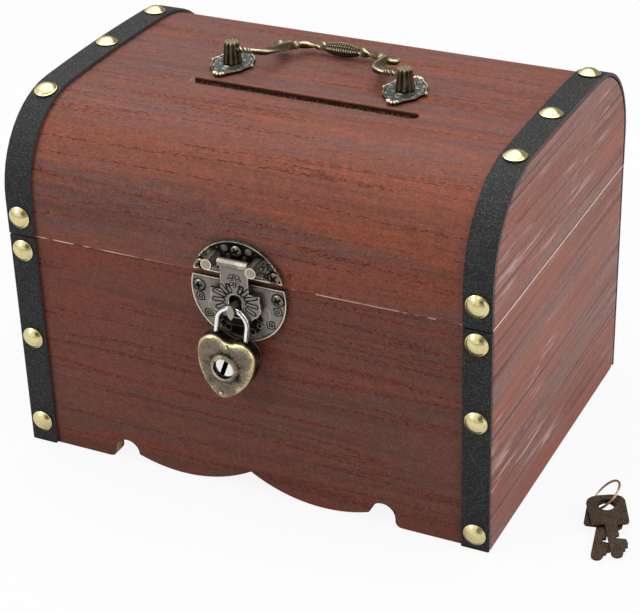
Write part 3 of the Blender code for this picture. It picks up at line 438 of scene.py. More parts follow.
lid_wood = stained_wood("stained_wood_lid", "X", LID_TONES, 0.085, 1.10, slot_shade_and_speckle)
print(f"wood for the lid, with a slot of {2000 * SLOT_REACH:.1f} mm")

# %% [markdown]
# ## Leatherette
# The straps are black leatherette with a fine slanted grain. Voronoi cells, turned and drawn out, give its
# pebbles; their tops and a few fine specks are painted pale as highlights. The cut edges, which face along X,
# are painted paler than the face as a highlight.


# %% Leatherette
def leatherette():
    """Near-black skin with slanted pebbles; pale pebble tops, a few bright specks and greyer cut sides are
    painted highlights.
    """
    finish = Finish("black_leatherette", specular=0.30)
    fine = finish.vector("MULTIPLY", finish.place, (1200,) * 3)["Vector"]
    turned = finish.node("ShaderNodeVectorRotate", {"Vector": fine, "Axis": (0.3, 1, 0.2),
                                                    "Angle": math.radians(38)}).outputs[0]
    longer = finish.vector("MULTIPLY", turned, (1.0, 1.0, 2.0))["Vector"]
    grain = Value(finish, finish.node("ShaderNodeTexVoronoi",
                                      {"Vector": longer, "Scale": 1.0, "Randomness": 0.9},
                                      feature="F1").outputs["Distance"])
    finish.bump(grain, -0.20 * MM)
    sideways = abs(finish.axes(finish.normal)[0])
    # The pale pebble tops, the bright specks and the paler sides are painted highlights.
    return finish.done(
        finish.layers(paint(11, 11, 12), (finish.noise(160, 3).step(0.3, 0.7), paint(22, 22, 23)),
                      (grain.step(0.40, 0.12, 0.0, 0.85), paint(80, 81, 82)),
                      (finish.noise(1700, 1).step(0.66, 0.78, 0.0, 0.32), paint(120, 120, 121)),
                      (sideways.step(0.75, 0.95, 0.0, 0.8), paint(70, 66, 66))),
        grain.step(0.05, 0.6, 0.42, 0.62))


strap_skin = leatherette()
print("leatherette for the straps")

# %% [markdown]
# ## Metals
# They fall in two groups. The tacks, shackle and screws are bright and nearly clean. The hasp, handle, padlock
# and keys are antiqued: dipped dark, then rubbed so that raised places turn pale. New pieces carry a number of
# wear and shade on every point, 0 in a groove and 1 on a rim, and the finish mixes its colours by it. In a few
# places this number also carries painted shade and painted reflections: dark lines on the shackle, the heart's
# side wall, the flap below its arch and the lower plate round the staple. On the CAD nodes, which have no such
# number, the wear is worked out from the place.


# %% Bright metals
def bright_metal(name, colour, roughness, smudge=0.12, pitted=0.0, sunk=None):
    """Clean metal: faint smudges, a shallow ripple, dark pits, and black where sunk(finish) is 1, which paints
    shade in the keyway and dark reflections along the shackle.
    """
    finish = Finish(name, metallic=1.0)
    cloud = finish.noise(420, 3)
    face = finish.mix(cloud.step(0.35, 0.75, 0.0, 0.3), colour, tuple(c * 0.62 for c in colour[:3]) + (1,))
    if pitted:
        face = finish.mix(finish.noise(1500, 2).step(0.66, 0.72, 0.0, pitted), face, paint(86, 66, 34))
    if sunk:
        face = finish.mix(sunk(finish), face, paint(12, 11, 10))
    finish.bump(finish.noise(900, 2), 0.01 * MM)
    return finish.done(face, cloud.step(0.3, 0.7, roughness, roughness + smudge))


def stored_wear_and_shade(finish):
    """The number of wear, and in places painted shade, that every new piece carries on its points."""
    return Value(finish, finish.node("ShaderNodeAttribute", attribute_name="worn_and_shaded").outputs["Fac"])


def painted_reflection_lines(finish):
    """1 in the lines along the shackle's wire where dark reflections are painted on the chrome."""
    return stored_wear_and_shade(finish).step(0.35, 0.15)


def keyway_painted_shade(finish):
    """1 behind the face of the key plug, so inside its slot, which is painted black as shade."""
    return finish.axes()[1].step(PLUG_FACE_Y + 0.06 * MM, PLUG_FACE_Y + 0.16 * MM)


PLUG_FACE_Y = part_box("padlock_plug")[0].y
CHROME = (0.88, 0.88, 0.89, 1)
tack_brass = bright_metal("bright_brass", (0.77, 0.67, 0.33, 1), 0.13, pitted=0.5)
steel = bright_metal("bright_steel", (0.50, 0.48, 0.46, 1), 0.28)
chrome = bright_metal("chrome", CHROME, 0.04, 0.05, sunk=painted_reflection_lines)
plug_chrome = bright_metal("chrome_plug", CHROME, 0.10, 0.05, sunk=keyway_painted_shade)
ring_metal = bright_metal("pale_brass", paint(206, 182, 148), 0.18)
print("five bright metals")


# %% Antiqued metals
def antique_metal(name, tones, roughness, wear_and_shade=stored_wear_and_shade, brushed=1500, uneven=0.30):
    """Groove, field and rim tones by the wear number, which in places holds painted shade, + uneven * (speckle
    - 0.5) + uneven * (patch - 0.5).
    """
    finish = Finish(name, metallic=0.85)
    groove, field, rim = tones
    speckle, patch = finish.noise(brushed, 3, 0.6), finish.noise(260, 3)
    worn_and_shaded = wear_and_shade(finish) + (speckle - 0.5) * uneven + (patch - 0.5) * uneven
    finish.bump(speckle, 0.02 * MM)
    return finish.done(finish.layers(groove, (worn_and_shaded.step(0.10, 0.45), field), (worn_and_shaded.step(0.58, 0.95), rim)),
                       worn_and_shaded.step(0.1, 0.95, roughness + 0.18, roughness - 0.08))


def key_wear(finish):
    """Tumbled keys: one even level that the speckles break up."""
    return finish.noise(2600, 3, 0.6).step(0.35, 0.75, 0.18, 0.72)


PEWTER = paint(11, 10, 9), paint(134, 127, 120), paint(230, 220, 190)
BRONZE = paint(22, 20, 16), paint(94, 83, 62), paint(212, 198, 158)
FEET = paint(26, 29, 31), paint(88, 92, 90), paint(214, 202, 168)
HEART = paint(26, 21, 14), paint(124, 112, 98), paint(214, 198, 148)
STEEL = paint(20, 17, 15), paint(118, 110, 98), paint(178, 168, 146)
KEYS = paint(36, 28, 23), paint(84, 70, 56), paint(146, 124, 98)
pewter = antique_metal("antique_pewter", PEWTER, 0.38, uneven=0.42)
screw_metal = antique_metal("worn_steel", STEEL, 0.36)
bronze = antique_metal("antique_bronze", BRONZE, 0.34)
bronze_feet = antique_metal("antique_bronze_feet", FEET, 0.38)
heart_brass = antique_metal("antique_brass", HEART, 0.40, brushed=(1900, 1900, 2300), uneven=1.05)
key_metal = antique_metal("speckled_bronze", KEYS, 0.44, key_wear)
print("six antiqued metals")

# %% Wear by place, on the CAD nodes of hasp and handle
PLATE_Y = FRONT_Y - 1.5 * MM  # outer face of the hasp plates
BARREL_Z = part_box("hasp_hinge_pin")[0].z / 2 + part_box("hasp_hinge_pin")[1].z / 2
POST_X, POST_RADIUS = 8.2 * MM, 2.4 * MM  # the two posts that hold the barrel
HANDLE_X, HANDLE_Y = -1.0 * MM, -0.4 * MM  # middle of the handle
STANDARD_X = 33.05 * MM  # from there to each standard
FLUTES = 10.0


def hasp_wear(finish):
    """Smooth pale ends with a paler rim on the posts, grey streaks along their sides."""
    x, y, z = finish.axes()
    flat = y.step(PLATE_Y - 6.38 * MM, PLATE_Y - 6.25 * MM, 1.0, 0.0)
    across, up = abs(x) - POST_X, z - BARREL_Z
    off = finish.math("SQRT", across * across + up * up)
    rim = off.step(1.50 * MM, 1.90 * MM, 0.0, 0.30) * (off < 2.7 * MM)
    streak = finish.noise((900, 60, 900), 2).step(0.35, 0.70, 0.20, 0.33)
    return flat * (rim + 0.68) + (1.0 - flat) * streak


def barrel_wear(finish):
    """On the flap's solid: a satin barrel above, dark below it, where the engraved skin lies."""
    return finish.axes()[2].step(BARREL_Z - 2.0 * MM, BARREL_Z - 1.5 * MM, 0.2, 0.62)


def flute_wear(finish):
    """On the standards: pale ridges, cos(flutes * angle), a pale rim on top, dark base plates."""
    x, y, z = finish.axes()
    turn = finish.math("ARCTAN2", y - HANDLE_Y, abs(x - HANDLE_X) - STANDARD_X)
    ridge = finish.math("COSINE", turn * FLUTES).step(-0.3, 0.95, 0.18, 0.56)
    return (ridge * z.step(LID_TOP_Z + 1.0 * MM, LID_TOP_Z + 2.2 * MM)
            + z.step(LID_TOP_Z + 8.2 * MM, LID_TOP_Z + 8.8 * MM, 0.0, 0.34))


pewter_solid = antique_metal("antique_pewter_solid", PEWTER, 0.38, hasp_wear, uneven=0.10)
pewter_barrel = antique_metal("antique_pewter_barrel", PEWTER, 0.34, barrel_wear, (300, 2600, 2600), 0.60)
bronze_fluted = antique_metal("antique_bronze_fluted", BRONZE, 0.34, flute_wear, (900, 900, 120), 0.55)
print(f"three more, with the barrel at z {BARREL_Z:.4f}")

# %% [markdown]
# ## Wood, leather and metal on the CAD nodes
# Nodes whose shape is already right keep it and only get their finish. Two modifiers help some of them:
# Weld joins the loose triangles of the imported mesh, and a small Bevel rounds the edges so that they catch a
# line of light.

# %% Dress the CAD nodes
BEVEL_SEGMENTS = 2
SHARP_DEG = 35  # only edges sharper than this are rounded


def dress(finish, names, bevel=0.0):
    """Gives nodes a finish and, if asked, a rounded edge."""
    for name in names:
        node = NODES[name]
        node.data.materials.clear()
        node.data.materials.append(finish)
        if bevel:
            node.modifiers.new("Weld", "WELD").merge_threshold = 0.001 * MM
            rounding = node.modifiers.new("Bevel", "BEVEL")
            rounding.width, rounding.segments = bevel, BEVEL_SEGMENTS
            rounding.limit_method, rounding.angle_limit = "ANGLE", math.radians(SHARP_DEG)
            rounding.harden_normals = True


def nodes_like(word):
    return [name for name in NODES if word in name]


dress(front_wood, ["case_front", "case_back"])
dress(end_wood_painted_lit, ["case_left", "case_right", "lid_end_left", "lid_end_right"])
dress(bare_board, ["case_bottom"])
dress(lid_wood, ["lid_shell"])
dress(strap_skin, nodes_like("strap"), 0.25 * MM)
dress(steel, nodes_like("hinge_"))
dress(pewter_solid, ["hasp_upper_plate", "hasp_lower_plate"])
dress(pewter_barrel, ["hasp_flap"])
dress(bronze_fluted, nodes_like("handle_standard"))
dress(plug_chrome, ["padlock_plug"])
dress(key_metal, ["key_1", "key_2"], 0.12 * MM)
print(f"{len(NODES)} CAD nodes, {sum(bool(n.data.materials) for n in NODES.values())} dressed")

# %% [markdown]
# ## Shapes from arrays
# Every new piece below is a grid of points. A lathe turns a profile round an axis, a tube carries a circle
# along a path, and a relief lifts a flat outline by a height that we write as a formula. One function turns
# grids into closed shapes, each a tuple of points, faces and wear (which in places holds painted shade), and
# another makes a piece from such shapes.


# %% Grids to meshes
def closed_grid(points, worn_and_shaded):
    """A shape from points [row, column, xyz] whose columns close round, with its wear and, in places, painted
    shade.

    The wear is one number, or one for each row or each point.

    Each open end gets a fan of triangles to its middle point. The shape is turned outwards: its volume, the sum
    of a dot (b cross c) over its triangles, must come out positive.
    """
    rows, columns = points.shape[:2]
    count = rows * columns
    index = np.arange(count).reshape(rows, columns)
    right = np.roll(index, -1, 1)
    quads = np.stack([index[:-1], right[:-1], right[1:], index[1:]], 2).reshape(-1, 4)
    fans = np.concatenate([np.stack([right[0], index[0], np.full(columns, count)], 1),
                           np.stack([index[-1], right[-1], np.full(columns, count + 1)], 1)])
    flat = np.concatenate([points.reshape(-1, 3), [points[0].mean(0), points[-1].mean(0)]])
    wear_and_shade = np.reshape(worn_and_shaded, (-1, 1)) if np.ndim(worn_and_shaded) < 2 else worn_and_shaded
    wear_and_shade = np.broadcast_to(wear_and_shade, (rows, columns)).ravel()
    a, b, c = flat[np.concatenate([quads[:, :3], quads[:, [0, 2, 3]], fans])].transpose(1, 0, 2)
    if (a * np.cross(b, c)).sum() < 0:
        quads, fans = quads[:, ::-1], fans[:, ::-1]
    return flat, [*quads.tolist(), *fans.tolist()], np.append(wear_and_shade, wear_and_shade[[0, -1]])


def placed(shape, matrix):
    """A shape moved by a 4x4 matrix."""
    turn = np.array(matrix)
    return shape[0] @ turn[:3, :3].T + turn[:3, 3], shape[1], shape[2]


def piece(name, shapes, body, finish, smooth_deg=60, stands_for=()):
    """One mesh from several closed shapes, with its wear and painted shade, on a CAD body."""
    starts = np.cumsum([0] + [len(s[0]) for s in shapes])
    faces = [[i + start for i in face] for s, start in zip(shapes, starts) for face in s[1]]
    mesh = bpy.data.meshes.new(name)
    mesh.from_pydata(np.concatenate([s[0] for s in shapes]).tolist(), [], faces)
    mesh.attributes.new("worn_and_shaded", "FLOAT", "POINT").data.foreach_set(
        "value", np.concatenate([s[2] for s in shapes]).astype(np.float32))
    mesh.shade_smooth()
    mesh.set_sharp_from_angle(angle=math.radians(smooth_deg))
    mesh.materials.append(finish)
    made = add_object(name, mesh)
    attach(made, body)
    if stands_for:
        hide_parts(*stands_for)
    return made


# %% Lathe and tube
def full_turn(count):
    return np.linspace(0, 2 * np.pi, count, endpoint=False)


def unit(rows):
    """Each row divided by its length."""
    return rows / np.linalg.norm(rows, axis=1, keepdims=True)


def lathe(profile, sides):
    """Rows of (radius, height) turned round Z: x = r cos a, y = r sin a, z = h."""
    radius, height = np.asarray(profile, float).T[..., None]
    angle = full_turn(sides)
    return np.stack([radius * np.cos(angle), radius * np.sin(angle), height + 0 * angle], 2)


def tube(path, radius, flat_normal, sides=20, oval=1.0):
    """A ring of points carried along a path that lies nearly flat.

    P = path + r cos a * side + oval * r sin a * up, where side is the path's direction cross the flat's normal
    and up is side cross the direction. radius is one number, one for each row, or one for each row and side.
    """
    along = unit(np.gradient(path, axis=0))
    side = unit(np.cross(along, flat_normal))
    up = np.cross(side, along)
    angle = full_turn(sides)[None, :, None]
    radius = np.reshape(radius, (len(path), -1)) if np.ndim(radius) else radius
    radius = np.broadcast_to(radius, (len(path), sides))[..., None]
    return (path[:, None] + radius * np.cos(angle) * side[:, None]
            + oval * radius * np.sin(angle) * up[:, None])


print("a circle of 8 points lies at", np.round(lathe([(1, 0)], 8)[0, :, 0], 2))

# %% [markdown]
# ## Brass tacks
# A real upholstery tack is a thin dome pressed from sheet brass on a steel nail. It is turned: the profile
# rises from the rim, which is rolled in slightly, over the dome. Each tack has a shallow dent of its own.
# Where a tack stands is read from its CAD node: the nail's tip is what lies farthest from the middle.

# %% Tacks
TACK_RADIUS, TACK_RISE = 4.0 * MM, 1.95 * MM
NAIL_RADIUS, NAIL_LENGTH = 0.55 * MM, 6.2 * MM
TACK_SIDES = 40
DENT = 0.05 * MM
RIM = ((-0.25, 0.05), (0, 0.02), (0.03, 0.14))  # radius past the dome's and height in mm


def tack_place(node):
    """Matrix of a tack: its seat at the origin and its dome along +Z."""
    points = np.array([v.co for v in node.data.vertices])
    middle = points.mean(0)
    far = np.linalg.norm(points - middle, axis=1)
    tip = points[far > far.max() - 0.1 * MM].mean(0)
    way = Vector(middle - tip).normalized()
    low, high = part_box(node.name)
    seat = Vector(tip) + way * NAIL_LENGTH
    seat.x = ((Vector(low) + Vector(high)) / 2).x
    return Matrix.Translation(seat) @ Vector((0, 0, 1)).rotation_difference(way).to_matrix().to_4x4()


def tack(number):
    """Dome with a rolled rim; a dent lowers it by dent * sin(pi * reach) * cos(a - turn) squared."""
    ball_radius = (TACK_RADIUS ** 2 + TACK_RISE ** 2) / (2 * TACK_RISE)
    lean = np.linspace(math.asin(TACK_RADIUS / ball_radius), 0.02, 14)[1:]
    dome = np.stack([ball_radius * np.sin(lean), TACK_RISE - ball_radius + ball_radius * np.cos(lean)], 1)
    nail = [(NAIL_RADIUS, -NAIL_LENGTH), (NAIL_RADIUS, 0.05 * MM)]
    points = lathe([*nail, *((TACK_RADIUS + out * MM, z * MM) for out, z in RIM), *dome], TACK_SIDES)
    reach = np.hypot(points[..., 0], points[..., 1]) / TACK_RADIUS
    facing_dent = np.maximum(0, np.cos(full_turn(TACK_SIDES) - 2.4 * number)) ** 2
    dent = DENT * np.sin(np.pi * np.clip(reach, 0, 1)) * facing_dent
    points[..., 2] -= np.where(points[..., 2] > 0.3 * MM, dent, 0)
    return closed_grid(points, 0.8)


for number, name in enumerate(sorted(nodes_like("_tack_"))):
    piece(f"dome_{name}", [placed(tack(number), tack_place(NODES[name]))],
          "lid" if name.startswith("lid") else "case", tack_brass, 50, [name])
print(f"{len(nodes_like('_tack_'))} tacks")

# %% [markdown]
# ## Raw edge along the seam
# Lid and case are sawn apart after staining, so the saw bares a line of pale wood. On the ends it shows all
# the way, on the front only here and there. A thin strip under the lid's walls is that bared edge. Its
# outer face wanders a little in and out, so the line breaks up as a real one does.

# %% Seam strips
STRIP_DEPTH, STRIP_WIDTH = 0.44 * MM, 5.0 * MM
INNER_X = END_X - 8.2 * MM
FRONT_SET_BACK, END_SET_BACK = 0.14 * MM, 0.10 * MM


def seam_strip(start, end, inwards, set_back, wander):
    """A thin strip from start to end: its outer face stands set_back + wander * (sum of sines) inside."""
    start, end, inwards = (np.asarray(v, float) for v in (start, end, inwards))
    share = np.linspace(0, 1, 160)[:, None]
    spine = start + (end - start) * share
    ripple = np.sin(61 * share) + np.sin(23 * share + 1.3) + np.sin(131 * share + 0.4)
    outer = spine + inwards * (set_back + wander * ripple)
    inner = spine + inwards * STRIP_WIDTH
    top, low = np.array([0, 0, LID_FOOT_Z]), np.array([0, 0, LID_FOOT_Z - STRIP_DEPTH])
    return closed_grid(np.stack([outer + top, outer + low, inner + low, inner + top], 1), 0.5)


def bared_wood():
    """Pale peach wood, stained over again where a slow noise is low, but never at the ends."""
    finish = Finish("bared_wood", roughness=0.75)
    across = finish.axes()[0]
    rubbed = across.step(-60 * MM, -20 * MM, 0.9, 0.12).larger(across.step(16 * MM, 22 * MM, 0.0, 0.62))
    broken = finish.noise((70, 6, 40), 3).step(0.42, 0.50) * rubbed
    bare = broken.larger(abs(across) > END_X - 8.5 * MM)
    pale = finish.mix(finish.noise((900, 300, 300), 2), paint(255, 224, 204), paint(226, 184, 160))
    return finish.done(finish.mix(bare, paint(84, 46, 38), pale))


strips = [seam_strip((-INNER_X, way * FRONT_Y, 0), (INNER_X, way * FRONT_Y, 0), (0, way, 0), FRONT_SET_BACK,
                     0.03 * MM) for way in (1, -1)]
strips += [seam_strip((way * END_X, FRONT_Y + 0.3 * MM, 0), (way * END_X, -FRONT_Y - 0.3 * MM, 0), (-way, 0, 0),
                      END_SET_BACK, 0.02 * MM) for way in (1, -1)]
piece("seam_bared_edge", strips, "lid", bared_wood(), 30)
print(len(strips), "strips of bared edge along the seam")

# %% [markdown]
# ## Relief on stamped metal
# The hasp is stamped from thin sheet: a raised bead follows its outline, and rosettes, scrolls and rows of
# beads fill the field. We cover the outline with a square grid of points and write the stamped depth as a
# sum of simple hills: rings, beads and strokes. Points near the outline move on to it, so the edge is
# clean.

# %% Relief tools
UNDERSIDE = -0.1 * MM  # of every relief, sunk into what carries it


def outline_distance(points, loops):
    """Distance of points to closed outlines, positive inside; inside by the even-odd rule."""
    best = np.full(len(points), np.inf)
    odd = np.zeros(len(points), bool)
    for loop in loops:
        for p, q in zip(loop, np.roll(loop, -1, 0)):
            edge = q - p
            share = np.clip(((points - p) @ edge) / max(edge @ edge, 1e-18), 0, 1)
            best = np.minimum(best, np.linalg.norm(points - p - share[:, None] * edge, axis=1))
            if p[1] != q[1]:
                crossed = (p[1] > points[:, 1]) != (q[1] > points[:, 1])
                odd ^= crossed & (points[:, 0] < p[0] + (points[:, 1] - p[1]) * edge[0] / edge[1])
    return np.where(odd, best, -best)


def relief(loops, height, pitch, worn_and_shaded):
    """A plate over outlines in its own (u, v) plane: its top is height(u, v, d), its wear and painted shade
    from the fourth argument, a function of (u, v, d, top).

    d is the distance to the outline. Cells whose middle has d > 0 stay, and the outermost points move by -d
    times the slope of d, on to the outline.
    """
    every = np.concatenate(loops)
    low, high = every.min(0) - 2 * pitch, every.max(0) + 2 * pitch
    u, v = np.meshgrid(np.arange(low[0], high[0], pitch), np.arange(low[1], high[1], pitch))
    d = outline_distance(np.stack([u.ravel(), v.ravel()], 1), loops).reshape(u.shape)
    kept = (d[:-1, :-1] + d[1:, :-1] + d[:-1, 1:] + d[1:, 1:]) > 0
    full = np.pad(kept, 1)
    around = full[:-1, :-1].astype(int) + full[1:, :-1] + full[:-1, 1:] + full[1:, 1:]
    slope_v, slope_u = np.gradient(d, pitch)
    steep = np.maximum(np.hypot(slope_u, slope_v), 0.5)
    edge = (around > 0) & (around < 4)
    u = np.where(edge, u - d * slope_u / steep ** 2, u)
    v = np.where(edge, v - d * slope_v / steep ** 2, v)
    d = np.where(edge, 0, d)
    top = height(u, v, d)
    index = np.arange(d.size).reshape(d.shape)
    j, i = np.nonzero(kept)
    a, b, c, e = index[j, i], index[j, i + 1], index[j + 1, i + 1], index[j + 1, i]
    faces = [np.stack([a, b, c, e], 1), np.stack([e, c, b, a], 1) + d.size]
    for start, end, dj, di in ((a, b, -1, 0), (b, c, 0, 1), (c, e, 1, 0), (e, a, 0, -1)):
        rim = ~full[j + 1 + dj, i + 1 + di]
        p, q = start[rim], end[rim]
        faces.append(np.stack([q, p, p + d.size, q + d.size], 1))
    points = np.concatenate([np.stack([u, v, z], 2).reshape(-1, 3)
                             for z in (top, np.full_like(top, UNDERSIDE))])
    used, compact = np.unique(np.concatenate(faces), return_inverse=True)
    return points[used], compact.reshape(-1, 4).tolist(), np.tile(worn_and_shaded(u, v, d, top).ravel(), 2)[used]


# %% Hills
def hill(off, at, width):
    """exp(-((off - at) / width) squared), with at and width in mm."""
    return np.exp(-((off - at * MM) / (width * MM)) ** 2)


def ring(u, v, at, radius, width):
    """A round ridge, 1 on the circle; width in mm."""
    return hill(np.hypot(u - at[0], v - at[1]) - radius, 0, width)


def bead(u, v, at, radius):
    """Half a ball, 1 at its top."""
    return np.sqrt(np.clip(1 - ((u - at[0]) ** 2 + (v - at[1]) ** 2) / radius ** 2, 0, 1))


def stroke(u, v, start, end, reach, width):
    """A ridge along the line at a reach round a straight stroke, the outline of a petal; both in mm."""
    start, way = np.asarray(start, float), np.subtract(end, start)
    share = np.clip(((u - start[0]) * way[0] + (v - start[1]) * way[1]) / (way @ way), 0, 1)
    return hill(np.hypot(u - start[0] - share * way[0], v - start[1] - share * way[1]), reach, width)


def arc(at, radius, start_deg, end_deg, count, closed=False):
    """Points (u, v) on a circle's arc: at + radius * (cos a, sin a)."""
    angle = np.radians(np.linspace(start_deg, end_deg, count, endpoint=not closed))
    return np.stack([at[0] + radius * np.cos(angle), at[1] + radius * np.sin(angle)], 1)


def circle(at, radius, count=24):
    return arc(at, radius, 0, 360, count, True)


def facing_front(y):
    """Places a relief's u along X, v along Z and its height towards the viewer, from y."""
    return Matrix(((1, 0, 0, 0), (0, 0, -1, y), (0, 1, 0, 0), (0, 0, 0, 1)))


print("a hill falls to", round(float(hill(0.2 * MM, 0, 0.2)), 2), "at its width")

# %% [markdown]
# ## The round hasp
# It is one disc cut in two by the seam. The upper half is screwed to the lid and carries two posts that
# hold the flap's hinge. The lower half is screwed to the case and carries the staple. The skins below lie
# on the CAD plates and add what the stamping press left: rims, rosettes, screw cups, beads and scrolls.


# %% Hasp layout
def by_seam(x, z):
    """A place on the hasp, x mm from the middle and z mm above the seam."""
    return x * MM, SEAM_Z + z * MM


def both_sides(rows):
    """Rows of x, z, radius in mm and what follows, left and right, as (place, radius, ...)."""
    return [(by_seam(way * x, z), radius * MM, *rest) for way in (-1, 1) for x, z, radius, *rest in rows]


def half_disc(radius, drop, edge, above):
    """Outline of a disc round (0, seam - drop), cut straight at a height above or below the seam."""
    centre = (0, SEAM_Z - drop)
    cut = math.degrees(math.asin((SEAM_Z + edge - centre[1]) / radius))
    return arc(centre, radius, cut, 180 - cut, 90) if above else arc(centre, radius, 180 - cut, 360 + cut, 110)


UPPER_SCREWS = [by_seam(x, z) for x, z in ((-13.6, 3.8), (0, 11.2), (13.6, 3.8))]
LOWER_SCREWS = [by_seam(x, -4.3) for x in (-14.7, 14.7)]
POSTS = [(way * POST_X, BARREL_Z) for way in (-1, 1)]
# Each ring: x, height over the seam, radius, and lift, which is negative for an engraved one
UPPER_RINGS = both_sides(((4.4, 11.6, 0.9, 0.12), (7.3, 11.2, 0.8, -0.15), (9.3, 10.4, 0.7, -0.15),
                          (3.0, 8.9, 0.6, 0.10), (10.9, 4.0, 0.7, -0.15), (14.9, 6.4, 0.6, -0.15)))
LOWER_RINGS = both_sides(((4.6, -18.6, 1.2, 0.11), (2.0, -16.4, 0.9, 0.11), (7.4, -15.6, 0.9, 0.11),
                          (8.6, -11.0, 3.0, 0.10)))
UPPER_BEADS = both_sides([(4.4, 11.6, 0.5)] + [(x, 2.9, 0.42) for x in (5.2, 6.2, 7.2, 8.2, 9.2)])
UPPER_ROSETTES = both_sides([(12.3, 7.6, 1.3)])
LOWER_ROSETTES = both_sides(((14.5, -8.7, 1.55), (11.6, -14.4, 1.55)))
print(len(UPPER_RINGS) + len(LOWER_RINGS), "rings on the hasp")

# %% Hasp plates
SKIN = 0.04 * MM  # a skin's lowest field above the CAD plate
RELIEF_PITCH = 0.17 * MM
SCREW_HOLE, SCREW_CUP = 1.2 * MM, 2.35 * MM
ROSETTE_TURN = math.radians(10)


def rosette(u, v, at, size):
    """Depth share of an engraved rounded square with a smaller one inside, turned a little."""
    c, s = math.cos(ROSETTE_TURN), math.sin(ROSETTE_TURN)
    a, b = np.abs((u - at[0]) * c + (v - at[1]) * s), np.abs((v - at[1]) * c - (u - at[0]) * s)
    off = 0.62 * np.maximum(a, b) + 0.38 * np.hypot(a, b)
    return sum(hill(off - share * size, 0, 0.17) for share in (0.92, 0.36))


def deep_by_posts(u, v):
    """The lid plate's field is sunk in the middle, less so beside the posts."""
    return 0.85 / (1 + np.exp((np.abs(u) - 6.4 * MM) / (1.2 * MM))) + 0.15


def deep_and_shaded_by_staple(u, v):
    """The case plate's field is sunk round the staple; as the wear follows height, it turns black there, partly
    dark patina and partly the painted shadow of flap and padlock.
    """
    return 1 / (1 + np.exp((np.hypot(u, (v - SEAM_Z + 13.5 * MM) * 1.15) - 8.6 * MM) / (0.35 * MM)))


def stamped_plate(name, body, loop, screws, posts, rosettes, rings, beads, deep):
    """A skin with a rim bead, engraved rosettes, rings and beads over a field that sinks where deep(u, v) is 1.

    Raised and outer places are rubbed pale, engraved ones stay black. The rim leaves the holes' edges out.
    """
    holes = [(at, SCREW_HOLE, 0.9 * MM) for at in screws] + [(at, POST_RADIUS, 0.8 * MM) for at in posts]

    def clear(u, v):
        return np.min([np.hypot(u - at[0], v - at[1]) > radius + near for at, radius, near in holes], axis=0)

    def height(u, v, d):
        z = SKIN + 0.13 * MM * (1 - deep(u, v))
        z = (z + 0.15 * MM * hill(d, 0.10, 0.20) * clear(u, v)
             - 0.06 * MM * hill(d, 0.75, 0.2) * (1 - deep(u, v)))
        z = z - sum(0.17 * MM * rosette(u, v, at, size) for at, size in rosettes)
        z = z + sum(lift * MM * ring(u, v, at, size, 0.24) for at, size, lift in rings)
        return np.clip(z + sum(0.16 * MM * bead(u, v, at, size) for at, size in beads), 0.0, 0.36 * MM)

    def worn_and_shaded(u, v, d, top):
        return np.clip(-0.12 + top / (0.30 * MM) * 0.95 + 0.35 * hill(d, 0, 0.30) * clear(u, v), 0, 1)

    skin = relief([loop] + [circle(at, radius) for at, radius, _ in holes], height, RELIEF_PITCH, worn_and_shaded)
    piece(name, [placed(skin, facing_front(PLATE_Y))], body, pewter)


stamped_plate("hasp_upper_relief", "lid", half_disc(17.2 * MM, 2.7 * MM, 1.8 * MM, True), UPPER_SCREWS, POSTS,
              UPPER_ROSETTES, [(at, SCREW_CUP, -0.12) for at in UPPER_SCREWS] + UPPER_RINGS, UPPER_BEADS,
              deep_by_posts)
stamped_plate("hasp_lower_relief", "case", half_disc(17.7 * MM, 5.0 * MM, -0.4 * MM, False), LOWER_SCREWS, [],
              LOWER_ROSETTES, [(at, SCREW_CUP, -0.09) for at in LOWER_SCREWS] + LOWER_RINGS, [], deep_and_shaded_by_staple)
print("stamped skins on both hasp plates")

# %% Hasp screws
SCREW_RADIUS, SCREW_DOME = 1.9 * MM, 0.9 * MM
CROSS_REACH, CROSS_HALF, CROSS_DEPTH = 1.36 * MM, 0.46 * MM, 0.62 * MM


def screw_cross(u, v):
    """1 inside the cross of the screw's recess: two bars that narrow towards their ends."""
    bars = [np.clip((CROSS_HALF * (1.15 - 0.5 * np.abs(a) / CROSS_REACH) - np.abs(b)) / (0.10 * MM) + 0.5, 0, 1)
            * np.clip((CROSS_REACH - np.abs(a)) / (0.12 * MM) + 0.5, 0, 1) for a, b in ((u, v), (v, u))]
    return np.maximum(*bars)


def screw_height(u, v, d):
    """A dome, z = rise * (1 - 0.92 (r / R) squared), with the cross sunk by most of it."""
    dome = SCREW_DOME * (1 - 0.92 * np.clip(np.hypot(u, v) / SCREW_RADIUS, 0, 1) ** 2)
    return dome - CROSS_DEPTH * screw_cross(u, v)


def screw_wear(u, v, d, top):
    """Black in the cross, pale at the rim."""
    return np.clip(0.52 - 1.4 * screw_cross(u, v) + 0.3 * np.exp(-d / (0.2 * MM)), -0.6, 1)


screw_head = relief([circle((0, 0), SCREW_RADIUS, 40)], screw_height, 0.09 * MM, screw_wear)
for level, spots, body in (("upper", UPPER_SCREWS, "lid"), ("lower", LOWER_SCREWS, "case")):
    heads = [placed(screw_head, Matrix.Translation((x, 0, z)) @ facing_front(PLATE_Y - 0.3 * MM)
                    @ Matrix.Rotation(0.12 + 0.35 * number, 4, "Z")) for number, (x, z) in enumerate(spots)]
    piece(f"hasp_screw_heads_{level}", heads, body, screw_metal, 40,
          nodes_like("hasp_screw_" + level))
print(len(UPPER_SCREWS + LOWER_SCREWS), "cross-head screws")

# %% [markdown]
# The flap hangs from the barrel and spreads into two wings beside an arched hole, through which the staple
# comes. Fingers are engraved round the arch and a small flower on the neck: their outlines are strokes sunk
# into the field.

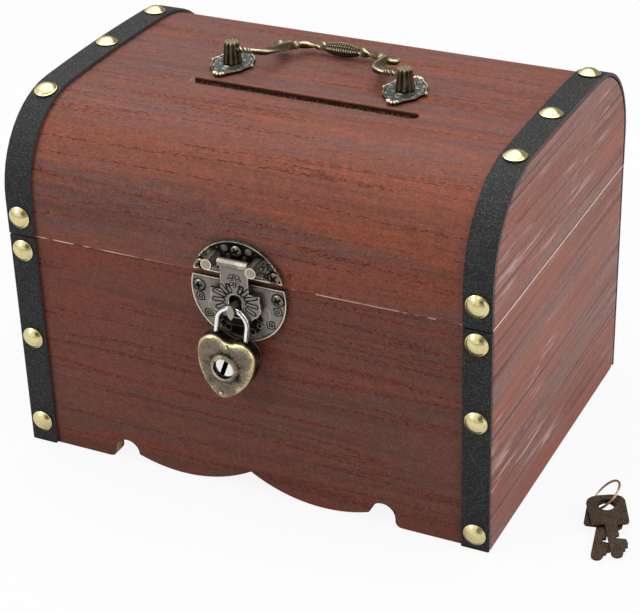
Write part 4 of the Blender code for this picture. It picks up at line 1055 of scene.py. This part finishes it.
# %% Hasp flap
FLAP_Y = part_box("hasp_lower_plate")[1].y - 3.7 * MM
FLAP_HALF, FLAP_LENGTH, NECK_HALF = 9.6 * MM, 23.2 * MM, 5.2 * MM
ARCH_HALF, ARCH_Z, ARCH_FOOT_Z = 2.35 * MM, BARREL_Z - 13.95 * MM, BARREL_Z - 20.1 * MM
WING_SHARES = ((0.97, 0.455), (0.94, 0.55), (1.0, 0.70), (0.865, 0.79), (0.67, 0.845), (0.48, 0.957),
               (0.23, 1.0))
FLOWER_Z = BARREL_Z - 6.3 * MM
wing = np.array([(NECK_HALF, BARREL_Z - 1.4 * MM), (NECK_HALF, BARREL_Z - WING_SHARES[0][1] * FLAP_LENGTH)]
                + [(a * FLAP_HALF, BARREL_Z - b * FLAP_LENGTH) for a, b in WING_SHARES])
flap_loop = np.concatenate([wing, (wing * (-1, 1))[::-1]])
arch_loop = np.concatenate([arc((0, ARCH_Z), ARCH_HALF, 0, 180, 24),
                            [(-ARCH_HALF, ARCH_FOOT_Z), (ARCH_HALF, ARCH_FOOT_Z)]])


def spoke(middle_z, angle, near, far, way=1):
    """Start and end of a stroke that leans by an angle from upright, near and far mm from its middle."""
    lean = math.radians(angle)
    return [(way * r * MM * math.sin(lean), middle_z + r * MM * math.cos(lean)) for r in (near, far)]


FINGERS = [spoke(ARCH_Z, *row, way) for row in ((26, 3.9, 6.0), (47, 4.0, 7.2), (71, 4.3, 8.0), (95, 4.5, 7.9),
                                                (118, 4.9, 7.7)) for way in (-1, 1)]
LEAVES = [spoke(FLOWER_Z, angle, 0.9, 2.2) for angle in (0, 78, 180, 282)]
CURLS = [((way * x * MM, FLOWER_Z + z * MM), size * MM)
         for way in (-1, 1) for x, z, size in ((1.25, 1.45, 0.7), (1.2, -1.35, 0.65), (2.5, -2.3, 0.5))]


def flap_height(u, v, d):
    """A flat field with a fine raised rim, in which fingers and flower are sunk outlines."""
    z = 0.17 * MM + 0.06 * MM * hill(d, 0.2, 0.18)
    z = z - sum(0.20 * MM * stroke(u, v, start, end, 0.66, 0.23) for start, end in FINGERS)
    z = z - sum(0.13 * MM * stroke(u, v, start, end, 0.34, 0.16) for start, end in LEAVES)
    return np.clip(z - sum(0.13 * MM * ring(u, v, at, size, 0.17) for at, size in CURLS), 0.0, 0.26 * MM)


def flap_wear_and_shade(u, v, d, top):
    """Field grey, outlines black, rim pale, and painted dark below the foot of the arch as shade."""
    # Below the arch's foot the wear is lowered: painted shade.
    below = v < ARCH_FOOT_Z - 0.2 * MM
    return np.clip(-0.05 + top / (0.17 * MM) * 0.56 + 0.12 * hill(d, 0, 0.15) - 0.5 * below, 0, 1)


flap_skin = relief([flap_loop, arch_loop], flap_height, 0.13 * MM, flap_wear_and_shade)
piece("hasp_flap_relief", [placed(flap_skin, facing_front(FLAP_Y))], "flap", pewter)
print(f"engraved flap skin at y {FLAP_Y:.5f}, {len(FINGERS)} fingers")

# %% [markdown]
# ## Heart padlock
# The body is cast brass, antiqued and then rubbed: its middle stays dull, its rim and the ring round the
# key plug turn golden. The outline is four arcs a side. Each row of the body is that outline moved inwards
# by its normal, or blended into a circle round the plug, at a depth of its own, so one grid runs from the
# plug's bore over the face, round the rim and across the back. The shackle's holes are then cut.

# %% Heart outline
PADLOCK_TILT_DEG = 8.5
EYE = Vector((0, FRONT_Y - 5.55 * MM, SEAM_Z - 8.8 * MM))  # middle of the wire where it hangs in the staple
LOCK_PLACE = Matrix.Translation(EYE) @ Matrix.Rotation(math.radians(PADLOCK_TILT_DEG), 4, "Y")
SHOULDER = -11.0 * MM  # top of the lobes below the middle of the wire
LOBE_X, LOBE_RADIUS, FLANK_RADIUS = 5.0 * MM, 5.9 * MM, 19.5 * MM
TIP_RADIUS, TIP_REACH, DIP = 4.5 * MM, 13.1 * MM, 1.3 * MM


def heart_outline(count):
    """Points (x, z) at equal steps round the heart: dip, lobe, flank and tip arcs, mirrored.

    The flank's circle of radius F touches the lobe and the tip from outside, so its centre lies F - lobe radius
    from the lobe's centre and F - tip radius from the tip's.
    """
    lobe, tip = np.array([LOBE_X, SHOULDER - LOBE_RADIUS]), np.array([0, SHOULDER - LOBE_RADIUS - TIP_REACH])
    low = LOBE_RADIUS - DIP
    dip = (LOBE_X ** 2 + low ** 2 - LOBE_RADIUS ** 2) / (2 * DIP)
    dip_z = lobe[1] + low + dip
    lean = math.degrees(math.atan2(dip_z - lobe[1], -LOBE_X))
    near, far, reach = FLANK_RADIUS - LOBE_RADIUS, FLANK_RADIUS - TIP_RADIUS, np.linalg.norm(tip - lobe)
    along = (near ** 2 - far ** 2 + reach ** 2) / (2 * reach)
    way = (tip - lobe) / reach
    flank = lobe + way * along + np.array([way[1], -way[0]]) * math.sqrt(near ** 2 - along ** 2)
    high, below = (math.degrees(math.atan2(*(spot - flank)[::-1])) for spot in (lobe, tip))
    half = np.concatenate([arc((0, dip_z), dip, -90, lean - 180, 12)[:-1],
                           arc(lobe, LOBE_RADIUS, lean, high, 50),
                           arc(flank, FLANK_RADIUS, high, below, 40)[1:],
                           arc(tip, TIP_RADIUS, below, -90, 24)[1:]])
    loop = np.concatenate([half, (half * (-1, 1))[-2:0:-1], half[:1]])
    walked = np.concatenate([[0], np.cumsum(np.linalg.norm(np.diff(loop, axis=0), axis=1))])
    at = np.linspace(0, walked[-1], count, endpoint=False)
    return np.stack([np.interp(at, walked, loop[:, 0]), np.interp(at, walked, loop[:, 1])], 1)


outline = heart_outline(180)
print(f"heart {np.ptp(outline[:, 0]) * 1000:.1f} mm wide, {np.ptp(outline[:, 1]) * 1000:.1f} mm high")

# %% Heart body
PLUG = np.array([0, SHOULDER - 11.1 * MM])
# Rows: blend to the circle, inset from the outline, circle's radius, depth from the middle, and wear, which on
# the side rows (depth -2.0 to 2.0 mm) is kept low to paint shade on the side wall
HEART_ROWS = np.array([
    (1, 0, 3.7, 2.5, 0), (1, 0, 3.7, -3.8, 0), (1, 0, 3.82, -4.02, 0.9), (1, 0, 4.05, -4.08, 0.75),
    (1, 0, 4.6, -4.05, 0.62), (1, 0, 5.0, -3.8, 0.5), (1, 0, 5.3, -3.4, 0.30), (1, 0, 5.5, -3.2, 0.22),
    (0.85, 2.6, 5.7, -3.13, 0.30), (0.65, 2.6, 5.7, -3.10, 0.38), (0.4, 2.6, 5.7, -3.10, 0.40),
    (0.2, 2.6, 5.7, -3.12, 0.43), (0, 2.4, 0, -3.16, 0.48), (0, 2.0, 0, -3.22, 0.54), (0, 1.6, 0, -3.28, 0.61),
    (0, 1.25, 0, -3.28, 0.68), (0, 0.9, 0, -3.2, 0.77), (0, 0.6, 0, -3.02, 0.87), (0, 0.35, 0, -2.75, 0.95),
    (0, 0.15, 0, -2.4, 0.8), (0, 0.03, 0, -2.0, 0.35), (0, 0, 0, -1.4, 0.12), (0, 0, 0, 0, 0.1),
    (0, 0, 0, 1.4, 0.12), (0, 0.03, 0, 2.0, 0.4), (0, 0.15, 0, 2.4, 0.9), (0, 0.35, 0, 2.75, 1.0),
    (0, 0.6, 0, 3.02, 0.95), (0, 0.9, 0, 3.2, 0.8), (0, 1.4, 0, 3.28, 0.6), (0, 2.0, 0, 3.24, 0.5),
    (0.3, 2.4, 3.0, 3.18, 0.42), (0.7, 2.4, 3.0, 3.16, 0.42), (1, 0, 2.0, 3.16, 0.42)])


def heart_body():
    """P = (1 - share) * (outline - inset * normal) + share * (plug + radius * direction), at its depth."""
    along = np.roll(outline, -1, 0) - np.roll(outline, 1, 0)
    normal = unit(np.stack([-along[:, 1], along[:, 0]], 1))
    outward = unit(outline - PLUG)
    normal *= np.sign((normal * outward).sum())
    share, inset, radius, depth, wear_and_shade = HEART_ROWS.T[..., None, None]
    flat = (1 - share) * (outline - inset * MM * normal) + share * (PLUG + radius * MM * outward)
    depth = np.repeat(depth[..., 0] * MM, len(outline), 1)
    return closed_grid(np.stack([flat[..., 0], depth, flat[..., 1]], 2), wear_and_shade.ravel())


def cut_holes(made, cutters):
    """Cuts shapes out of a piece with an exact Boolean, and keeps the result as its mesh."""
    tool = piece("cutter", cutters, "case", None)
    cut = made.modifiers.new("Holes", "BOOLEAN")
    cut.solver, cut.object = "EXACT", tool
    bpy.context.view_layer.update()
    graph = bpy.context.evaluated_depsgraph_get()
    result = bpy.data.meshes.new_from_object(made.evaluated_get(graph), depsgraph=graph)
    made.modifiers.remove(cut)
    made.data = result
    bpy.data.objects.remove(tool)
    result.set_sharp_from_angle(angle=math.radians(40))


LEG_X, WIRE = 5.6 * MM, 0.95 * MM
LONG_LEG, SHORT_LEG = 9.0 * MM, 4.0 * MM
HOLE = WIRE + 0.28 * MM
heart = piece("padlock_heart", [placed(heart_body(), LOCK_PLACE)], "lock_body", heart_brass,
              45, ["padlock_body"])
cut_holes(heart, [placed(closed_grid(lathe([(HOLE, SHOULDER - deep - 0.2 * MM), (HOLE, SHOULDER + 4 * MM)], 32),
                                     0.1), LOCK_PLACE @ Matrix.Translation((way * LEG_X, 0, 0)))
                  for way, deep in ((-1, LONG_LEG), (1, SHORT_LEG))])
print(f"heart body with {len(heart.data.polygons)} faces")

# %% Rivets and shackle
RIVET_Y = -3.2 * MM
RIVETS = ((0.3, -13.4), (-0.1, -32.2))  # x and z below the middle of the wire, in mm
RIVET_PROFILE = np.array([(0.74, -0.3), (0.74, 0.2), (0.66, 0.42), (0.44, 0.60), (0.1, 0.66)]) * MM
# Lines of painted dark reflection along the shackle's chrome wire:
WIRE_REFLECTION_LINES = ((0.9, 0.12), (2.3, 0.30), (4.1, 0.12), (5.5, 0.30))  # angle round the wire and width, in radians
WIRE_SIDES = 48
rivet = closed_grid(lathe(RIVET_PROFILE, 20), (0, 0.05, 0.7, 1, 1))
piece("padlock_rivets", [placed(rivet, LOCK_PLACE @ Matrix.Translation((x * MM, RIVET_Y, z * MM))
                                @ Matrix.Rotation(math.radians(90), 4, "X")) for x, z in RIVETS],
      "lock_body", heart_brass, 50)

legs = np.concatenate([[(-LEG_X, SHOULDER - LONG_LEG), (-LEG_X, SHOULDER)], arc((0, -LEG_X), LEG_X, 180, 0, 40),
                       [(LEG_X, SHOULDER), (LEG_X, SHOULDER - SHORT_LEG)]])
wire_path = np.stack([legs[:, 0], np.zeros(len(legs)), legs[:, 1]], 1)
around = full_turn(WIRE_SIDES)
# On these lines the number drops to 0, which paints the chrome black there as a painted reflection.
lines = sum(np.exp(-(((around - at + np.pi) % (2 * np.pi) - np.pi) / wide) ** 2) for at, wide in WIRE_REFLECTION_LINES)
wire_painted_reflections = np.tile(0.8 - 0.8 * np.minimum(lines, 1), (len(wire_path), 1))
shackle = closed_grid(tube(wire_path, WIRE, (0, 1, 0), WIRE_SIDES), wire_painted_reflections)
piece("padlock_wire", [placed(shackle, LOCK_PLACE)], "shackle", chrome, 50, ["padlock_shackle"])
print(len(RIVETS), "rivets and the shackle")

# %% [markdown]
# ## Bail handle
# Such a handle is cast in one piece: a beaded grip in the middle, then on each side a small leaf, a long
# leaf, a bead, and a C-shaped scroll that hooks outwards and ends in a short twisted stub inside its
# standard. We work in the bail's own flat plane, in millimetres: across, away from the hinge line, and up
# from the plane. Every part is a tube whose radius changes along its way; ridges and twists are ripples in
# that radius.

# %% Bail tools
GRIP_AWAY = 21.3
BAIL_DROOP = math.asin(3.75 / GRIP_AWAY)
BAIL_PLACE = Matrix(((MM, 0, 0, HANDLE_X),
                     (0, MM * math.cos(BAIL_DROOP), MM * math.sin(BAIL_DROOP), HANDLE_Y),
                     (0, -MM * math.sin(BAIL_DROOP), MM * math.cos(BAIL_DROOP), LID_TOP_Z + 6.5 * MM),
                     (0, 0, 0, 1)))
UP = (0, 0, 1)
CAST_SIDES = 36


def flat_path(corners, count):
    """A rounded path in the bail's plane through points (across, away): a cubic spline (Catmull-Rom)."""
    p = np.column_stack([corners, np.zeros(len(corners))])
    p = np.concatenate([[2 * p[0] - p[1]], p, [2 * p[-1] - p[-2]]])
    at = np.linspace(0, len(corners) - 1 - 1e-9, count)
    i = at.astype(int)
    t = (at - i)[:, None]
    a, b, c, d = (p[i + k] for k in range(4))
    return 0.5 * (2 * b + (c - a) * t + (2 * a - 5 * b + 4 * c - d) * t ** 2 + (3 * b - a - 3 * c + d) * t ** 3)


def ridged_tube(path, radii, ridges, depth, twist, oval):
    """A tube whose radius ripples: r (1 + depth cos(ridges * a + twist * way)); ridge tops wear pale."""
    at = np.linspace(0, 1, len(path))
    radius = np.interp(at, np.linspace(0, 1, len(radii)), radii)
    soft = np.convolve(np.pad(radius, 3, "edge"), np.hanning(9)[1:-1] / np.hanning(9).sum(), "valid")
    ripple = np.cos(ridges * full_turn(CAST_SIDES)[None] + twist * at[:, None] * 2 * np.pi)
    return closed_grid(tube(path, soft[:, None] * (1 + depth * ripple), UP, CAST_SIDES, oval),
                       0.30 + 0.55 * (0.5 + 0.5 * ripple) ** 1.5)


def ball(at, radius):
    """A small cast ball: a half circle turned round."""
    lean = np.linspace(-1.45, 1.45, 14)
    return closed_grid(lathe(np.stack([radius * np.cos(lean), radius * np.sin(lean)], 1), 24) + at, 0.75)


print(f"the bail droops by {math.degrees(BAIL_DROOP):.1f} degrees")

# %% Bail
GRIP_HALF, GRIP_RADIUS, GRIP_SIDES = 6.5, 2.35, 128
# Corners of the path (across, away), rows along it, radii along it, ridges, their depth, twist, oval
CASTINGS = (
    (((6.1, 21.3), (8.2, 21.6), (11.2, 21.0)), 36, (1.1, 1.7, 1.95, 1.5, 0.6), 3, 0.15, 0.8, 0.85),
    (((9.8, 21.4), (12.6, 21.1), (15.0, 19.6), (16.5, 17.7)), 44,
     (0.7, 1.4, 1.75, 1.65, 1.3, 0.9), 2, 0.15, 0.5, 0.8),
    (((16.9, 17.4), (18.2, 15.9), (18.9, 13.2), (19.3, 9.6), (19.9, 5.8), (21.2, 2.5), (23.4, 0.7),
      (25.6, 0.0)), 90, (1.3, 1.9, 1.8, 1.5, 1.4, 1.5, 1.3, 0.95), 3, 0.10, 0.9, 0.9),
    (((18.4, 12.6), (18.9, 15.0), (20.3, 16.8), (22.1, 16.9), (22.9, 15.5), (22.0, 14.3), (21.0, 14.9)), 60,
     (1.1, 1.75, 1.9, 1.65, 1.35, 1.1, 0.9), 2, 0.14, 0.4, 0.85),
    (((20.2, 6.2), (21.9, 4.9), (23.0, 3.3), (22.5, 2.2)), 30, (0.6, 0.9, 0.7, 0.4), 2, 0.08, 0.3, 0.9),
    (((24.6, 0.1), (27.0, 0.0), (33.9, 0.0)), 60, (0.95,) * 8, 3, 0.09, 7.0, 1.0))


def grip():
    """r = radius (1 - 0.46 (x / half) squared), with a net of beads and four rows of larger ones."""
    x = np.linspace(-GRIP_HALF, GRIP_HALF, 280)
    path = np.stack([x, np.full_like(x, GRIP_AWAY), np.zeros_like(x)], 1)
    angle = full_turn(GRIP_SIDES)
    base = GRIP_RADIUS * (1 - 0.46 * (x / GRIP_HALF) ** 2)
    net = np.abs(np.sin(3.4 * x)[:, None] * np.sin(7 * angle)[None])
    off = np.abs((angle + np.pi / 4) % (np.pi / 2) - np.pi / 4) * base[:, None]
    row = np.exp(-(off / 0.30) ** 2)
    height = 0.24 * net * (1 - row) + 0.30 * np.sqrt(np.abs(np.sin(3.6 * x)))[:, None] * row
    ends = np.clip((GRIP_HALF - np.abs(x)) / 0.7, 0, 1)[:, None]
    return closed_grid(tube(path, base[:, None] + height * ends, UP, GRIP_SIDES),
                       np.clip(-0.05 + 3.4 * height, 0, 1))


def bail_half(way):
    """One side of the bail. way is -1 or 1. A bead sits after the long leaf and one in the hook."""
    small, long, scroll, hook, curl, stub = (
        ridged_tube(flat_path(np.array(corners) * (way, 1.0), rows), *rest)
        for corners, rows, *rest in CASTINGS)
    return [small, long, ball((way * 16.7, 17.5, 0), 1.55), scroll, hook,
            ball((way * 21.2, 15.0, 0), 1.25), curl, stub]


bail_parts = [placed(part, BAIL_PLACE) for part in [grip()] + bail_half(-1) + bail_half(1)]
piece("bail_casting", bail_parts, "bail", bronze, stands_for=["handle_bail"])
print(f"bail from {len(bail_parts)} swept parts")

# %% [markdown]
# ## Feet of the handle
# Each standard grows out of a small cast plate with a raised edge, a knob at each side point and a curl of
# petals at its front and back points. The plate's field is sunk and nearly black. A screw sits before and
# behind the post.

# %% Base plates of the standards
BASE_HALF_WIDTH, BASE_HALF_LENGTH = 7.6 * MM, 11.8 * MM
BASE_TOP_Z = LID_TOP_Z + 1.1 * MM
BASE_SHARES = ((1.0, 0.07), (0.90, 0.20), (0.80, 0.48), (0.55, 0.66), (0.36, 0.80), (0.26, 0.93), (0.10, 1.0))
POST_ROOT_RADIUS = 3.3 * MM
FOOT_SCREW_Y = 5.6 * MM  # before and behind the post
quarter = np.array(BASE_SHARES) * (BASE_HALF_WIDTH, BASE_HALF_LENGTH)
right_half = np.concatenate([(quarter * (1, -1))[::-1], quarter])
base_loop = np.concatenate([right_half, (right_half * (-1, 1))[::-1]])


def base_height(u, v, d):
    """A thin cupped rim, a sunk field with veins fanning to the points, and a ring round each screw."""
    away = np.hypot(u, v) > POST_ROOT_RADIUS + 1.0 * MM
    z = SKIN + 0.07 * MM + away * (0.30 * MM * hill(d, 0, 0.28) - 0.09 * MM * hill(d, 0.62, 0.16)
                                   + 0.09 * MM * hill(d, 1.15, 0.18))
    z = z - 0.05 * MM * np.abs(np.sin(u / (0.9 * MM)) * np.sin(v / (0.8 * MM)))
    for way in (-1, 1):
        z = z + 0.16 * MM * ring(u, v, (0, way * FOOT_SCREW_Y), 1.35 * MM, 0.24)
        for lean in (-1, 1):
            vein = [(lean * x * MM, way * y * MM) for x, y in ((3.2, 2.6), (5.2, 4.6))]
            z = z + 0.13 * MM * stroke(u, v, *vein, 0.6, 0.18)
            z = z + 0.12 * MM * ring(u, v, (lean * 2.0 * MM, way * 8.2 * MM), 0.8 * MM, 0.18)
            z = z + 0.12 * MM * ring(u, v, (lean * 5.6 * MM, way * 1.2 * MM), 0.7 * MM, 0.18)
    return np.clip(z, 0.0, 0.42 * MM)


def foot_screw_height(u, v, d):
    """A low dome with one slot."""
    return 0.05 * MM + 0.2 * MM * bead(u, v, (0, 0), 1.6 * MM) - 0.25 * MM * hill(u, 0, 0.16)


def raised_wear(u, v, d, top):
    """Worn by height alone."""
    return np.clip(top / (0.30 * MM), 0, 1)


base_skin = relief([base_loop, circle((0, 0), POST_ROOT_RADIUS, 40)], base_height, RELIEF_PITCH, raised_wear)
foot_screw = relief([circle((0, 0), 1.1 * MM)], foot_screw_height, 0.09 * MM, raised_wear)
print(f"base plate of {len(base_skin[0])} points")


# %% Trim of the base plates
def base_trim(x):
    """Small knobs at the side points, and a fan of five petals at the front and at the back point."""
    low = BASE_TOP_Z - 0.2 * MM
    parts = [placed(ball((0, 0, 0), 0.75 * MM), Matrix.Translation((x + way * 7.7 * MM, HANDLE_Y, low)))
             for way in (-1, 1)]
    share = np.linspace(0, 1, 10)[:, None]
    thick = (0.30 + 0.28 * np.sin(np.pi * share[:, 0])) * MM
    for way in (-1, 1):
        for lean in np.radians((-72, -38, 0, 38, 72)):
            out = np.array([math.sin(lean), way * math.cos(lean), 0])
            spine = np.array([x, HANDLE_Y + way * 10.0 * MM, low + 0.25 * MM]) + out * (0.7 + 1.7 * share) * MM
            parts.append(closed_grid(tube(spine, thick, UP, 12), 0.85))
    return parts


for side, way in (("left", -1), ("right", 1)):
    x = HANDLE_X + way * STANDARD_X
    on_lid = Matrix.Translation((x, HANDLE_Y, BASE_TOP_Z))
    screws = [placed(foot_screw, on_lid @ Matrix.Translation((0, turn * FOOT_SCREW_Y, 0))
                     @ Matrix.Rotation(0.7 * turn + way, 4, "Z")) for turn in (-1, 1)]
    piece(f"handle_foot_{side}", [placed(base_skin, on_lid), *base_trim(x), *screws], "lid", bronze_feet)
print("two dressed feet")

# %% [markdown]
# ## Split ring and hinge screws
# The keys hang on a split ring: flat wire wound twice. Its plane is read from the CAD ring's points. The rear
# hinges get the screws that hold them.

# %% Split ring
ring_points = np.array([v.co for v in NODES["key_ring"].data.vertices])
ring_middle = ring_points.mean(0)
ring_axes = np.linalg.svd(ring_points - ring_middle, full_matrices=False)[2]
RING_RADIUS = np.linalg.norm(ring_points - ring_middle, axis=1).mean()
RING_WIRE, RING_RISE = 0.37 * MM, 0.40 * MM


def split_ring():
    """Two turns of flat wire on one radius; the height rises by one wire thickness over the middle turn."""
    turn = np.linspace(0, 4 * np.pi, 160)
    rise = (1 / (1 + np.exp(-(turn - 2 * np.pi) * 2.2)) - 0.5) * RING_RISE
    path = (np.outer(RING_RADIUS * np.cos(turn), ring_axes[0])
            + np.outer(RING_RADIUS * np.sin(turn), ring_axes[1]) + np.outer(rise, ring_axes[2]) + ring_middle)
    taper = np.minimum(1, np.minimum(turn, 4 * np.pi - turn) * 8 + 0.35)
    return closed_grid(tube(path, RING_WIRE * taper, ring_axes[2], oval=0.5), 0.7)


piece("split_key_ring", [split_ring()], "case", ring_metal, stands_for=["key_ring"])
print(f"split ring of {RING_RADIUS * 2000:.1f} mm")

# %% Hinge screws
HINGE_X, HINGE_SCREW_X, HINGE_SCREW_Z = 45 * MM, 6.5 * MM, 8.2 * MM
LEAF_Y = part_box("hinge_left_case_leaf")[0].y + 0.7 * MM
SLOT_END = 1.1 * MM


def hinge_screw_height(u, v, d):
    """A low dome with a cross of two slots."""
    return (0.04 * MM + 0.45 * MM * bead(u, v, (0, 0), 1.9 * MM)
            - 0.35 * MM * hill(u, 0, 0.2) * (np.abs(v) < SLOT_END)
            - 0.35 * MM * hill(v, 0, 0.2) * (np.abs(u) < SLOT_END))


def even_wear(u, v, d, top):
    return np.full_like(u, 0.6)


hinge_screw = relief([circle((0, 0), 1.7 * MM)], hinge_screw_height, 0.1 * MM, even_wear)
for body, turn in (("case", -1), ("lid", 1)):
    heads = [placed(hinge_screw, Matrix.Translation((x + lean * HINGE_SCREW_X, LEAF_Y,
                                                     SEAM_Z + turn * HINGE_SCREW_Z))
                    @ Matrix.Rotation(math.radians(-90), 4, "X") @ Matrix.Rotation(x + lean, 4, "Z"))
             for x in (-HINGE_X, HINGE_X) for lean in (-1, 1)]
    piece(f"hinge_screws_{body}", heads, body, steel, 50)
print("eight hinge screws")

# %% [markdown]
# ## Measure
# The dressed model is meant to keep the size of the CAD model, so both boxes are printed.

# %% Finish
box_at_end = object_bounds()
for name, (low, high) in (("cad", box_at_load), ("visual", box_at_end)):
    print(name, "box in mm:", [round(1000 * (b - a), 1) for a, b in zip(low, high)])
